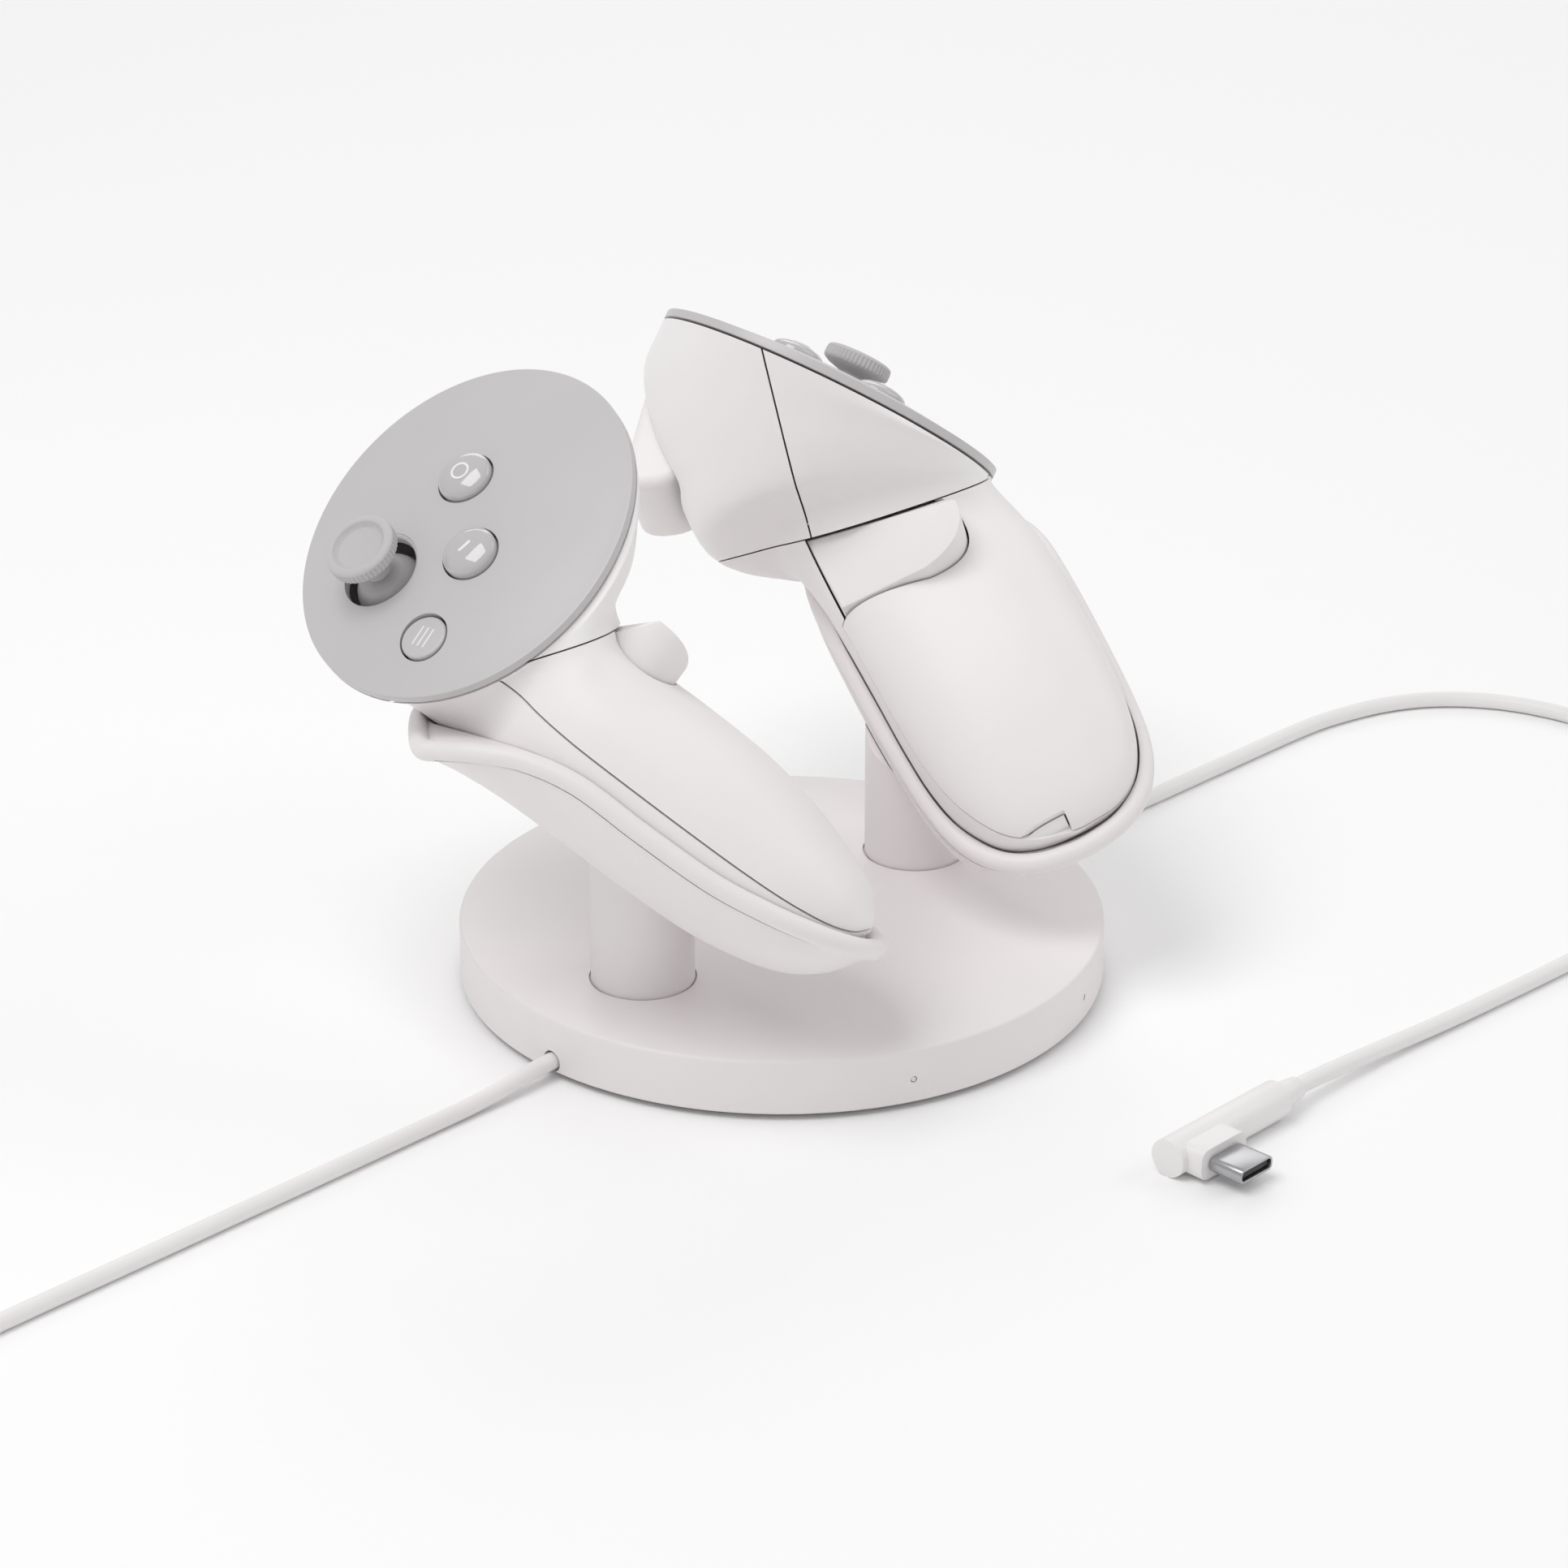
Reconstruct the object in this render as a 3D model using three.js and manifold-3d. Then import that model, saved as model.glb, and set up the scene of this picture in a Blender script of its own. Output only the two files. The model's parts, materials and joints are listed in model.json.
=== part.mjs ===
// A pair of hand-held motion controllers on their round charging dock.
// Units are millimetres, +Z is up. The origin is the centre of the dock's foot, on the surface it
// stands on. +X runs from the left-hand controller's post to the right-hand one's, -Y is the side
// that the handle ends point to. The right-hand controller is the left-hand one mirrored in X = 0.
import * as THREE from 'three';
import { mergeVertices } from 'three/addons/utils/BufferGeometryUtils.js';
import Module from 'manifold-3d';

const wasm = await Module();
wasm.setup();

// ---------------------------------------------------------------- driving dimensions

const GAP = 0.35; // clearance between neighbouring pieces

const BASE_RADIUS = 57;
const BASE_TOP = 11.2;
const BASE_WALL = 2;
const BASE_LID = 2.2;
const SHELL_FOOT = 1.05; // height of the shell's lower edge over the floor
const FOOT_RADIUS = 54.5;
const FOOT_HEIGHT = 0.8;
const POST_X = 34.8;
const POST_RADIUS = 9;
const POST_SEAT = 0.6; // the post stands in a shallow ring this deep
const LIGHT_ANGLES = { front: -113.5, side: -69.5 }; // degrees round the base's edge
const LIGHT_RADIUS = 0.45;
const LIGHT_Z = 5.5;

const CORD_DIAMETER = 3;
const CORD_RADIUS = CORD_DIAMETER / 2;
const CORD_EXIT_Z = 3.1;
const CORD_BORE = 1.95;
const GROMMET_FACE = 54.7;
const CORD_SIDES = 8;

// The left controller's own frame: x out of the battery cover, y towards the trigger, z up the handle.
const HANDLE_END = new THREE.Vector3(-24.5, -40.9, 30.1);
const NECK = new THREE.Vector3(-44.7, 17, 65);
const CRADLE_OPENING = new THREE.Vector3(0.48, -0.097, 0.872);

const SHELL_WALL = 1.8;
const HANDLE_MID_Y = -5;
const PLATE_CENTRE = new THREE.Vector3(13.9, -1.1, 92.4);
const PLATE_TILT = 54.8; // degrees from +y towards +z, of the plate's own "up"
const PLATE_ROLL = 17.4; // degrees that the plate turns towards the battery cover's side
const PLATE_SEMI_LONG = 33.6;
const PLATE_SEMI_SHORT = 30.6;
const PLATE_LONG_ANGLE = 35.8; // degrees, of the long axis in the plate's own plane
const PLATE_EDGE = 1.9;
const PLATE_DOME = 3;
const PLATE_THICKNESS = 1.8;

// Controls on the plate: place in the plate's plane and radius
const STICK = { x: -15.4, y: 4.6, well: 6.9, cap: 6.4, top: 12 };
const UPPER_BUTTON = { x: 6.1, y: 6.7, radius: 4.85 };
const LOWER_BUTTON = { x: -2.6, y: -7.6, radius: 4.85 };
const MENU_BUTTON = { x: -18, y: -13.7, radius: 4.15 };
const STICK_PIVOT_H = -1.8;
const BALL_RADIUS = 6.3;
const BALL_FLAT_H = 3; // the ball is cut flat here, clear of the cap's stem as that tilts
const STEM_FOOT_H = 4.25;

const TRIGGER_X = 6;
const TRIGGER_HALF_WIDTH = 10;
const TRIGGER_PIN = { y: 19, z: 108.6, radius: 0.9 };
const TRIGGER_TRAVEL = 12; // degrees
const GRIP_PIN = { x: 10.4, y: 10.6, radius: 0.6, low: 55.5, high: 65 };

// Neck line where head and handle shells meet: x * NECK_X + y * NECK_Y + z = NECK_Z
const NECK_CUT = { x: 0.75, y: -0.15, z: 76.2 };
// Line where front and rear head shells meet: y + z * SEAM_SLOPE = SEAM_Y
const HEAD_SEAM = { slope: 0.27, y: 31.5 };
// Line where battery cover and handle shell meet: x = slope * (y - y0)
const COVER_CUT = { slope: 0.14, y0: -23 };

const RIM_RADIUS = 1.8;
const RIM_STEPS = 32;
const CRADLE_WALL = 1.1;
const HANDLE_CLEARANCE = 0.4; // between the handle and the cradle's liner
const COIL_RADIUS = 6.5;
const COIL_Z = 32;
const POST_CUT = 11; // the post's top stays this far under the handle's middle

const BODY_SIDES = 18;
const ROUND = 24;

// ---------------------------------------------------------------- materials

const FINISH = {
  warmWhite: { color: 0xefecec, roughness: 0.62, metalness: 0 },
  dockWhite: { color: 0xe6e2e3, roughness: 0.68, metalness: 0 },
  plateGrey: { color: 0xc3c1c2, roughness: 0.5, metalness: 0 },
  clearButton: { color: 0xd2d0d1, roughness: 0.12, metalness: 0 },
  softGrey: { color: 0xc6c4c5, roughness: 0.6, metalness: 0 },
  darkPlastic: { color: 0x2c2c2e, roughness: 0.6, metalness: 0 },
  steel: { color: 0xb9b9bb, roughness: 0.3, metalness: 1 },
  copper: { color: 0xb87333, roughness: 0.4, metalness: 1 },
  boardGreen: { color: 0x1f5a3a, roughness: 0.5, metalness: 0 },
  batteryGrey: { color: 0x6f7276, roughness: 0.4, metalness: 0.2 },
  cordWhite: { color: 0xedebeb, roughness: 0.6, metalness: 0 },
};

// ---------------------------------------------------------------- solids

const rad = THREE.MathUtils.degToRad;

// A closed geometry as a manifold solid, with shared vertices merged and its faces pointing out.
function solid(geometry) {
  const bare = geometry.clone();
  bare.deleteAttribute('normal');
  bare.deleteAttribute('uv');
  const merged = mergeVertices(bare, 1e-4);
  const position = merged.attributes.position;
  const corners = merged.index.array;
  const kept = [];
  const a = new THREE.Vector3();
  const b = new THREE.Vector3();
  const c = new THREE.Vector3();
  let volume = 0;
  for (let i = 0; i < corners.length; i += 3) {
    const [p, q, r] = [corners[i], corners[i + 1], corners[i + 2]];
    if (p === q || q === r || r === p) continue;
    kept.push(p, q, r);
    a.fromBufferAttribute(position, p);
    b.fromBufferAttribute(position, q);
    c.fromBufferAttribute(position, r);
    volume += a.dot(b.cross(c));
  }
  if (volume < 0) kept.reverse();
  return new wasm.Manifold(new wasm.Mesh({
    numProp: 3,
    vertProperties: Float32Array.from(position.array),
    triVerts: Uint32Array.from(kept),
  }));
}

// A manifold solid as a geometry again.
function geometryOf(manifold) {
  const mesh = manifold.getMesh();
  const geometry = new THREE.BufferGeometry();
  const places = new Float32Array((mesh.vertProperties.length / mesh.numProp) * 3);
  for (let i = 0; i < places.length / 3; i += 1) {
    for (let k = 0; k < 3; k += 1) places[i * 3 + k] = mesh.vertProperties[i * mesh.numProp + k];
  }
  geometry.setAttribute('position', new THREE.BufferAttribute(places, 3));
  geometry.setIndex(new THREE.BufferAttribute(Uint32Array.from(mesh.triVerts), 1));
  return geometry;
}

// A closed skin through rings of points: a cylinder whose every vertex is moved by place(along,
// angle, reach), with along from 0 to 1 over the rings and reach 1 on the skin, 0 at a cap's centre.
function skin(rings, sides, place) {
  const geometry = new THREE.CylinderGeometry(1, 1, 1, sides, rings - 1);
  const position = geometry.attributes.position;
  const point = new THREE.Vector3();
  for (let i = 0; i < position.count; i += 1) {
    point.fromBufferAttribute(position, i);
    const angle = Math.atan2(point.z, point.x);
    const reach = Math.hypot(point.x, point.z);
    point.copy(place(point.y + 0.5, angle, reach));
    position.setXYZ(i, point.x, point.y, point.z);
  }
  return geometry;
}

// A closed ring of round section along a closed path.
function ringAlong(path, radius, steps, sides) {
  const geometry = new THREE.TorusGeometry(2, 1, sides, steps);
  const position = geometry.attributes.position;
  const point = new THREE.Vector3();
  const out = new THREE.Vector3();
  const up = new THREE.Vector3(1, 0, 0);
  for (let i = 0; i < position.count; i += 1) {
    point.fromBufferAttribute(position, i);
    const around = Math.atan2(point.y, point.x) / (2 * Math.PI);
    const section = Math.atan2(point.z, Math.hypot(point.x, point.y) - 2);
    const along = (around + 1) % 1;
    out.crossVectors(path.getTangent(along), up).normalize();
    point.copy(path.getPoint(along));
    point.addScaledVector(out, radius * Math.cos(section));
    point.addScaledVector(up, radius * Math.sin(section));
    position.setXYZ(i, point.x, point.y, point.z);
  }
  return geometry;
}

function box(x, y, z, cx, cy, cz) {
  return new THREE.BoxGeometry(x, y, z).translate(cx, cy, cz);
}

// A cylinder along z from low to high.
function rod(radius, low, high, sides = ROUND) {
  return new THREE.CylinderGeometry(radius, radius, high - low, sides)
    .rotateX(Math.PI / 2)
    .translate(0, 0, (low + high) / 2);
}

// A solid of revolution about z from [radius, height] pairs.
function turned(profile, sides = ROUND) {
  const points = profile.map(([r, h]) => new THREE.Vector2(r, h));
  return new THREE.LatheGeometry(points, sides).rotateX(Math.PI / 2);
}

function cordTube(points, steps) {
  const path = new THREE.CatmullRomCurve3(points.map((p) => new THREE.Vector3(...p)), false, 'centripetal');
  const section = new THREE.Shape();
  for (let i = 0; i < CORD_SIDES; i += 1) {
    const angle = (i / CORD_SIDES) * 2 * Math.PI;
    const corner = [CORD_RADIUS * Math.cos(angle), CORD_RADIUS * Math.sin(angle)];
    if (i === 0) section.moveTo(...corner);
    else section.lineTo(...corner);
  }
  return new THREE.ExtrudeGeometry(section, { steps, bevelEnabled: false, extrudePath: path });
}

// Half of space as a big block: the side of a plane that its normal points to.
function halfSpace(normal, offset) {
  const size = 400;
  const direction = new THREE.Vector3(...normal);
  const distance = offset / direction.length();
  direction.normalize();
  const block = box(size, size, size, 0, 0, size / 2);
  block.applyQuaternion(new THREE.Quaternion().setFromUnitVectors(new THREE.Vector3(0, 0, 1), direction));
  block.translate(direction.x * distance, direction.y * distance, direction.z * distance);
  return solid(block);
}

const root = new THREE.Group();

function addNode(parent, name, finish, shape) {
  const geometry = shape.getMesh ? geometryOf(shape) : geometryOf(solid(shape));
  const mesh = new THREE.Mesh(geometry, new THREE.MeshStandardMaterial(FINISH[finish]));
  mesh.name = name;
  parent.add(mesh);
  return mesh;
}

// ---------------------------------------------------------------- controller frames

function frameOf(side) {
  const up = NECK.clone().sub(HANDLE_END).normalize();
  const out = CRADLE_OPENING.clone().addScaledVector(up, -CRADLE_OPENING.dot(up)).normalize();
  const front = new THREE.Vector3().crossVectors(up, out);
  const place = HANDLE_END.clone();
  if (side < 0) {
    for (const vector of [up, out, front, place]) vector.x *= -1;
    out.negate();
  }
  return new THREE.Matrix4().makeBasis(out, front, up).setPosition(place);
}

// ---------------------------------------------------------------- the controller's outer form

// Each station is one section across the body, from the handle's end to the plate. It runs from the
// rear point [y, z] to the front point [y, z]; x is the middle, plus and minus are the depths on the
// battery cover's side and on the cradle's side, roll is how far the section turns about that line,
// and full is the power that squares its ellipse.
const BODY = [
  { rear: [-7.5, -1.6], front: [-2, -1.6], x: 1.8, plus: 1.4, minus: 1.4, roll: 0, full: 0.8 },
  { rear: [-12.5, -0.6], front: [3, -0.6], x: 1.6, plus: 3.4, minus: 3.4, roll: 0, full: 0.8 },
  { rear: [-16.8, 2], front: [7.4, 2], x: 1.2, plus: 6, minus: 6.4, roll: 0, full: 0.8 },
  { rear: [-19.8, 6], front: [10.4, 6], x: 0.8, plus: 8.3, minus: 9.2, roll: 0, full: 0.8 },
  { rear: [-22.2, 12], front: [13, 12], x: 0.5, plus: 10.6, minus: 11.6, roll: 0, full: 0.8 },
  { rear: [-23.6, 20], front: [14.5, 20], x: 0.2, plus: 13, minus: 12.3, roll: 0, full: 0.8 },
  { rear: [-24.2, 30], front: [15.1, 30], x: 0, plus: 14.8, minus: 12.6, roll: 0, full: 0.8 },
  { rear: [-24.4, 42], front: [15.3, 42], x: 0, plus: 15.2, minus: 12.6, roll: 0, full: 0.8 },
  { rear: [-24.2, 52], front: [15.6, 54], x: 0, plus: 15.2, minus: 12.6, roll: 0, full: 0.8 },
  { rear: [-23.4, 57.5], front: [16.3, 65], x: 0.4, plus: 16.2, minus: 14.5, roll: 2, full: 0.84 },
  { rear: [-22.5, 60.8], front: [18.8, 73.5], x: 1.4, plus: 18.6, minus: 16.6, roll: 4, full: 0.88 },
  { rear: [-21.8, 62.7], front: [25, 77.5], x: 2.8, plus: 21, minus: 18.6, roll: 6, full: 0.92 },
  { rear: [-21.2, 63.9], front: [30.3, 81.5], x: 4.6, plus: 23.2, minus: 20.4, roll: 8, full: 0.95 },
  { rear: [-20.7, 64.8], front: [30.4, 92], x: 7.2, plus: 26.2, minus: 23, roll: 11, full: 1 },
  { rear: [-20.3, 65.5], front: [28.8, 104], x: 9.8, plus: 28.6, minus: 26, roll: 13.5, full: 1 },
  { rear: [-19.9, 66], front: [25.2, 114], x: 12.2, plus: 30.4, minus: 29, roll: 15.8, full: 1 },
];

// Directions of a section: along it from rear to front, across it, and its normal up the body.
function sectionAxes(tilt, roll) {
  const along = new THREE.Vector3(0, Math.cos(tilt), Math.sin(tilt));
  const side = new THREE.Vector3(0, Math.sin(tilt), -Math.cos(tilt));
  const across = new THREE.Vector3(Math.cos(roll), 0, 0).addScaledVector(side, Math.sin(roll));
  const normal = new THREE.Vector3(Math.sin(roll), 0, 0).addScaledVector(side, -Math.cos(roll));
  return { along, across, normal };
}

const PLATE = sectionAxes(rad(PLATE_TILT), rad(PLATE_ROLL));

// Radius of the plate's outline at an angle from its own x axis.
function plateReach(angle) {
  const turn = angle - rad(PLATE_LONG_ANGLE);
  return 1 / Math.hypot(Math.cos(turn) / PLATE_SEMI_LONG, Math.sin(turn) / PLATE_SEMI_SHORT);
}

// A sine or cosine made squarer: powers under 1 fill an ellipse out towards its box.
function fuller(value, power) {
  return Math.sign(value) * Math.abs(value) ** power;
}

function sectionPoint(station, angle, inset) {
  const [ry, rz] = station.rear;
  const [fy, fz] = station.front;
  const { along, across } = sectionAxes(Math.atan2(fz - rz, fy - ry), rad(station.roll));
  const half = Math.hypot(fy - ry, fz - rz) / 2;
  const depth = Math.sin(angle) > 0 ? station.plus : station.minus;
  return new THREE.Vector3(station.x, (ry + fy) / 2, (rz + fz) / 2)
    .addScaledVector(along, Math.max(half - inset, 0.4) * fuller(Math.cos(angle), station.full))
    .addScaledVector(across, Math.max(depth - inset, 0.3) * fuller(Math.sin(angle), station.full));
}

// The body as a closed solid, its skin moved in by inset; lift raises the top past the plate's plane.
function bodySolid(inset, lift) {
  const last = BODY.length;
  const shift = PLATE.normal.clone().multiplyScalar(lift);
  const geometry = skin(last + 1, BODY_SIDES, (along, angle, reach) => {
    const index = Math.round(along * last);
    const centre = index === last ? PLATE_CENTRE.clone() : sectionMiddle(BODY[index]);
    let edge;
    if (index === last) {
      const size = plateReach(Math.PI / 2 - angle) - inset;
      edge = PLATE_CENTRE.clone()
        .addScaledVector(PLATE.along, size * Math.cos(angle))
        .addScaledVector(PLATE.across, size * Math.sin(angle))
        .add(shift);
      centre.add(shift);
    } else {
      edge = sectionPoint(BODY[index], angle, inset);
      if (index === 0) {
        edge.z += inset;
        centre.z += inset;
      }
    }
    return reach < 0.5 ? centre : edge;
  });
  return solid(geometry);
}

function sectionMiddle(station) {
  const [ry, rz] = station.rear;
  const [fy, fz] = station.front;
  return new THREE.Vector3(station.x, (ry + fy) / 2, (rz + fz) / 2);
}

// ---------------------------------------------------------------- the cradle

// Half width of the cradle at the rim's crest and depth of its underside, up the handle.
const CRADLE = [
  { z: -4.2, half: 3.5, crest: 0, floor: -1.6, lean: 0 },
  { z: -3, half: 9, crest: -0.2, floor: -4.2, lean: 0 },
  { z: 0, half: 13.8, crest: -0.8, floor: -8.4, lean: 0 },
  { z: 5, half: 17.4, crest: -1.8, floor: -12.3, lean: 0 },
  { z: 12, half: 19.7, crest: -3.1, floor: -14.9, lean: 0 },
  { z: 22, half: 20.9, crest: -4.5, floor: -16.8, lean: 0 },
  { z: 36, half: 21.5, crest: -4.9, floor: -17.5, lean: 0 },
  { z: 50, half: 21.6, crest: -5, floor: -17.6, lean: 0.04 },
  { z: 61, half: 21.4, crest: -7.3, floor: -17.6, lean: 0.1 },
  { z: 70, half: 20.2, crest: -11.4, floor: -17.9, lean: 0.18 },
  { z: 76, half: 18, crest: -14.8, floor: -18.5, lean: 0.26 },
  { z: 79.5, half: 14, crest: -17, floor: -19.4, lean: 0.3 },
];
const CRADLE_MID_Y = -4.2;
const CRADLE_SAG = 0.3; // the bowl hangs towards its lower side by this much of its depth

function cradlePoint(station, x, y, shift = 0) {
  const hang = (station.crest - x) * CRADLE_SAG;
  return new THREE.Vector3(x, CRADLE_MID_Y + y + hang, station.z + shift + station.lean * y);
}

// The cradle's bowl as a solid up to drop under its rim, its skin moved in by inset.
function bowlSolid(inset, drop = 0) {
  const last = CRADLE.length - 1;
  const geometry = skin(CRADLE.length, BODY_SIDES, (along, angle, reach) => {
    const index = Math.round(along * last);
    const station = CRADLE[index];
    const { half, crest, floor } = station;
    let shift = 0;
    if (index === 0) shift = inset;
    if (index === last) shift = -inset;
    if (reach < 0.5) return cradlePoint(station, (crest + floor) / 2, 0, shift);
    const y = Math.max(half - inset, 1) * Math.cos(angle);
    const depth = Math.max(crest - floor - inset, 0.3);
    const down = depth * fuller(Math.max(-Math.sin(angle), 0), 0.7);
    return cradlePoint(station, crest - Math.max(down, drop), y, shift);
  });
  return solid(geometry);
}

// The line of the rim's crest, once round, just inside the bowl's skin.
function rimPath() {
  const inside = (station) => station.half - RIM_RADIUS + 0.6;
  const near = CRADLE.map((station) => cradlePoint(station, station.crest, inside(station)));
  const far = CRADLE.map((station) => cradlePoint(station, station.crest, -inside(station)));
  return new THREE.CatmullRomCurve3([...near, ...far.reverse()], true, 'centripetal');
}

// The rolled rim: a round bead along the crest.
function rimBead(radius) {
  return solid(ringAlong(rimPath(), radius, RIM_STEPS, 8));
}

// The room that the handle needs, straight up out of the cradle.
function handleRoom() {
  const lift = 15;
  const body = geometryOf(bodySolid(-HANDLE_CLEARANCE, 0));
  const raised = body.clone().translate(0.976 * lift, 0, 0.219 * lift);
  return solid(body).add(solid(raised));
}

// A disc or ring that lies on the cradle's floor, facing up.
function onFloor(geometry, x) {
  return geometry.rotateY(Math.PI / 2).translate(x, CRADLE_MID_Y + 3, COIL_Z);
}

function cradlePieces() {
  const room = handleRoom();
  const shell = bowlSolid(0, RIM_RADIUS)
    .subtract(bowlSolid(CRADLE_WALL))
    .subtract(rimBead(RIM_RADIUS + GAP))
    .subtract(room);
  const coilRoom = solid(onFloor(rod(COIL_RADIUS + 0.4, 0, 1.5), -15.5));
  const liner = bowlSolid(CRADLE_WALL + GAP)
    .add(rimBead(RIM_RADIUS))
    .subtract(room)
    .subtract(coilRoom);
  const coil = onFloor(
    turned([[3, 0], [COIL_RADIUS, 0], [COIL_RADIUS, 0.5], [3, 0.5], [3, 0]]),
    -15.05,
  );
  return [
    ['cradle_shell', 'dockWhite', shell],
    ['cradle_liner', 'dockWhite', liner],
    ['charging_coil', 'copper', coil],
  ];
}

// ---------------------------------------------------------------- the controller's pieces

// Puts a shape made about its own z axis on the face plate: (x, y) in the plate's plane, z out of it.
function onPlate(geometry, x = 0, y = 0) {
  const matrix = new THREE.Matrix4()
    .makeBasis(PLATE.across, PLATE.along, PLATE.normal)
    .setPosition(PLATE_CENTRE);
  return geometry.translate(x, y, 0).applyMatrix4(matrix);
}

// Height of the plate's domed face over its rim plane at a place on it.
function domeHeight(x, y) {
  const share = Math.hypot(x, y) / plateReach(Math.atan2(y, x));
  return PLATE_EDGE + PLATE_DOME * (1 - share * share);
}

function faceplate() {
  const outer = [0.35, 0.6, 0.8, 0.93].map((r) => [r, PLATE_EDGE + PLATE_DOME * (1 - r * r)]);
  const inner = [0.88, 0.6].map((r) => [r, PLATE_EDGE - PLATE_THICKNESS + PLATE_DOME * (1 - r * r)]);
  const profile = [
    [0, PLATE_EDGE + PLATE_DOME - PLATE_THICKNESS],
    ...inner.reverse(),
    [0.93, GAP],
    [0.98, GAP],
    [1, GAP + 0.2],
    [1, PLATE_EDGE],
    ...outer.reverse(),
    [0, PLATE_EDGE + PLATE_DOME],
  ];
  const disc = turned(profile, 32)
    .scale(PLATE_SEMI_LONG, PLATE_SEMI_SHORT, 1)
    .rotateZ(rad(PLATE_LONG_ANGLE));
  let plate = solid(onPlate(disc));
  const holes = [
    [STICK, STICK.well],
    [UPPER_BUTTON, UPPER_BUTTON.radius + GAP],
    [LOWER_BUTTON, LOWER_BUTTON.radius + GAP],
    [MENU_BUTTON, MENU_BUTTON.radius + GAP],
  ];
  for (const [place, radius] of holes) {
    plate = plate.subtract(solid(onPlate(rod(radius, -2, 8), place.x, place.y)));
  }
  return plate;
}

// A domed button: a round stem with a swelling top that stands proud of the plate.
function domedButton({ x, y, radius }, rise) {
  const face = domeHeight(x, y);
  const profile = [[0, -3], [radius, -3], [radius, face + rise * 0.25]];
  for (const angle of [30, 52, 72]) {
    profile.push([radius * Math.cos(rad(angle)), face + rise * (0.25 + 0.75 * Math.sin(rad(angle)))]);
  }
  profile.push([0, face + rise]);
  return onPlate(turned(profile, 20), x, y);
}

function flatButton({ x, y, radius }) {
  const face = domeHeight(x, y);
  const profile = [[0, -3], [radius, -3], [radius, face - 0.1], [radius - 0.3, face + 0.15], [0, face + 0.15]];
  return onPlate(turned(profile, 20), x, y);
}

function thumbstickBall() {
  const profile = [[0, STICK_PIVOT_H - BALL_RADIUS]];
  for (let angle = -65; angle <= 40; angle += 21) {
    const place = rad(angle);
    profile.push([BALL_RADIUS * Math.cos(place), STICK_PIVOT_H + BALL_RADIUS * Math.sin(place)]);
  }
  profile.push([4, BALL_FLAT_H], [0, BALL_FLAT_H]);
  return onPlate(turned(profile, 20), STICK.x, STICK.y);
}

function thumbstickCap() {
  const { cap, top } = STICK;
  const profile = [
    [0, STEM_FOOT_H],
    [2.3, STEM_FOOT_H],
    [2.5, top - 4.4],
    [cap - 1.2, top - 3.7],
    [cap, top - 3.1],
    [cap, top - 0.7],
    [cap - 0.6, top],
    [cap - 1.6, top],
    [cap - 2.2, top - 0.5],
    [0, top - 0.9],
  ];
  return onPlate(turned(profile, ROUND), STICK.x, STICK.y);
}

// The block under the ball that carries its bearings and the press switch.
function thumbstickGimbal() {
  const block = solid(onPlate(box(12.5, 12.5, 5, STICK.x, STICK.y, -11.2)));
  const hollow = solid(onPlate(rod(5, -10, -5), STICK.x, STICK.y));
  return block.subtract(hollow);
}

function mainBoard() {
  return onPlate(box(26, 18, 1.2, -3, -1, -15));
}

// The trigger's side view, [y, z] points from its top round its finger side and back inside the head.
const TRIGGER_OUTLINE = [
  [25.6, 112.4], [27.6, 110], [30.2, 106.8], [33.4, 102.6], [36.4, 98.8], [38, 96.4],
  [38.2, 94.8], [37.2, 93.2], [34.6, 91.6], [31, 90.6],
  [26, 91], [20.5, 92.5], [17.2, 97], [15.6, 104], [15.6, 109.6], [17.6, 112.4], [21, 113],
];

function triggerSolid(grow) {
  const middle = [26, 100];
  const shape = new THREE.Shape();
  TRIGGER_OUTLINE.forEach(([y, z], i) => {
    const [dy, dz] = [y - middle[0], z - middle[1]];
    const reach = Math.hypot(dy, dz);
    const [gy, gz] = [y + (grow * dy) / reach, z + (grow * dz) / reach];
    if (i === 0) shape.moveTo(gy, gz);
    else shape.lineTo(gy, gz);
  });
  const width = 2 * (TRIGGER_HALF_WIDTH + grow);
  const corner = 1.4;
  const geometry = new THREE.ExtrudeGeometry(shape, {
    depth: width - 2 * corner,
    bevelThickness: corner,
    bevelSize: corner,
    bevelOffset: -corner,
    bevelSegments: 1,
    steps: 1,
  });
  // The outline's (y, z) plane stands upright and the depth runs along x.
  const stand = new THREE.Matrix4().makeBasis(
    new THREE.Vector3(0, 1, 0),
    new THREE.Vector3(0, 0, 1),
    new THREE.Vector3(1, 0, 0),
  );
  return geometry.translate(0, 0, corner - width / 2).applyMatrix4(stand).translate(TRIGGER_X, 0, 0);
}

function crossPin({ y, z, radius }, length, spread = 0) {
  return rod(radius + spread, -length / 2, length / 2, 12).rotateY(Math.PI / 2).translate(TRIGGER_X, y, z);
}

function trigger() {
  return solid(triggerSolid(0)).subtract(solid(crossPin(TRIGGER_PIN, 40, 0.3)));
}

// The opening that the trigger swings in: its own form, grown and turned through its travel.
function triggerOpening() {
  const grown = triggerSolid(0.5);
  let opening = solid(grown);
  for (const turn of [0.25, 0.5, 0.75, 1]) {
    const swung = grown.clone().translate(0, -TRIGGER_PIN.y, -TRIGGER_PIN.z);
    swung.rotateX(-rad(TRIGGER_TRAVEL) * turn).translate(0, TRIGGER_PIN.y, TRIGGER_PIN.z);
    opening = opening.add(solid(swung));
  }
  return opening;
}

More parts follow.
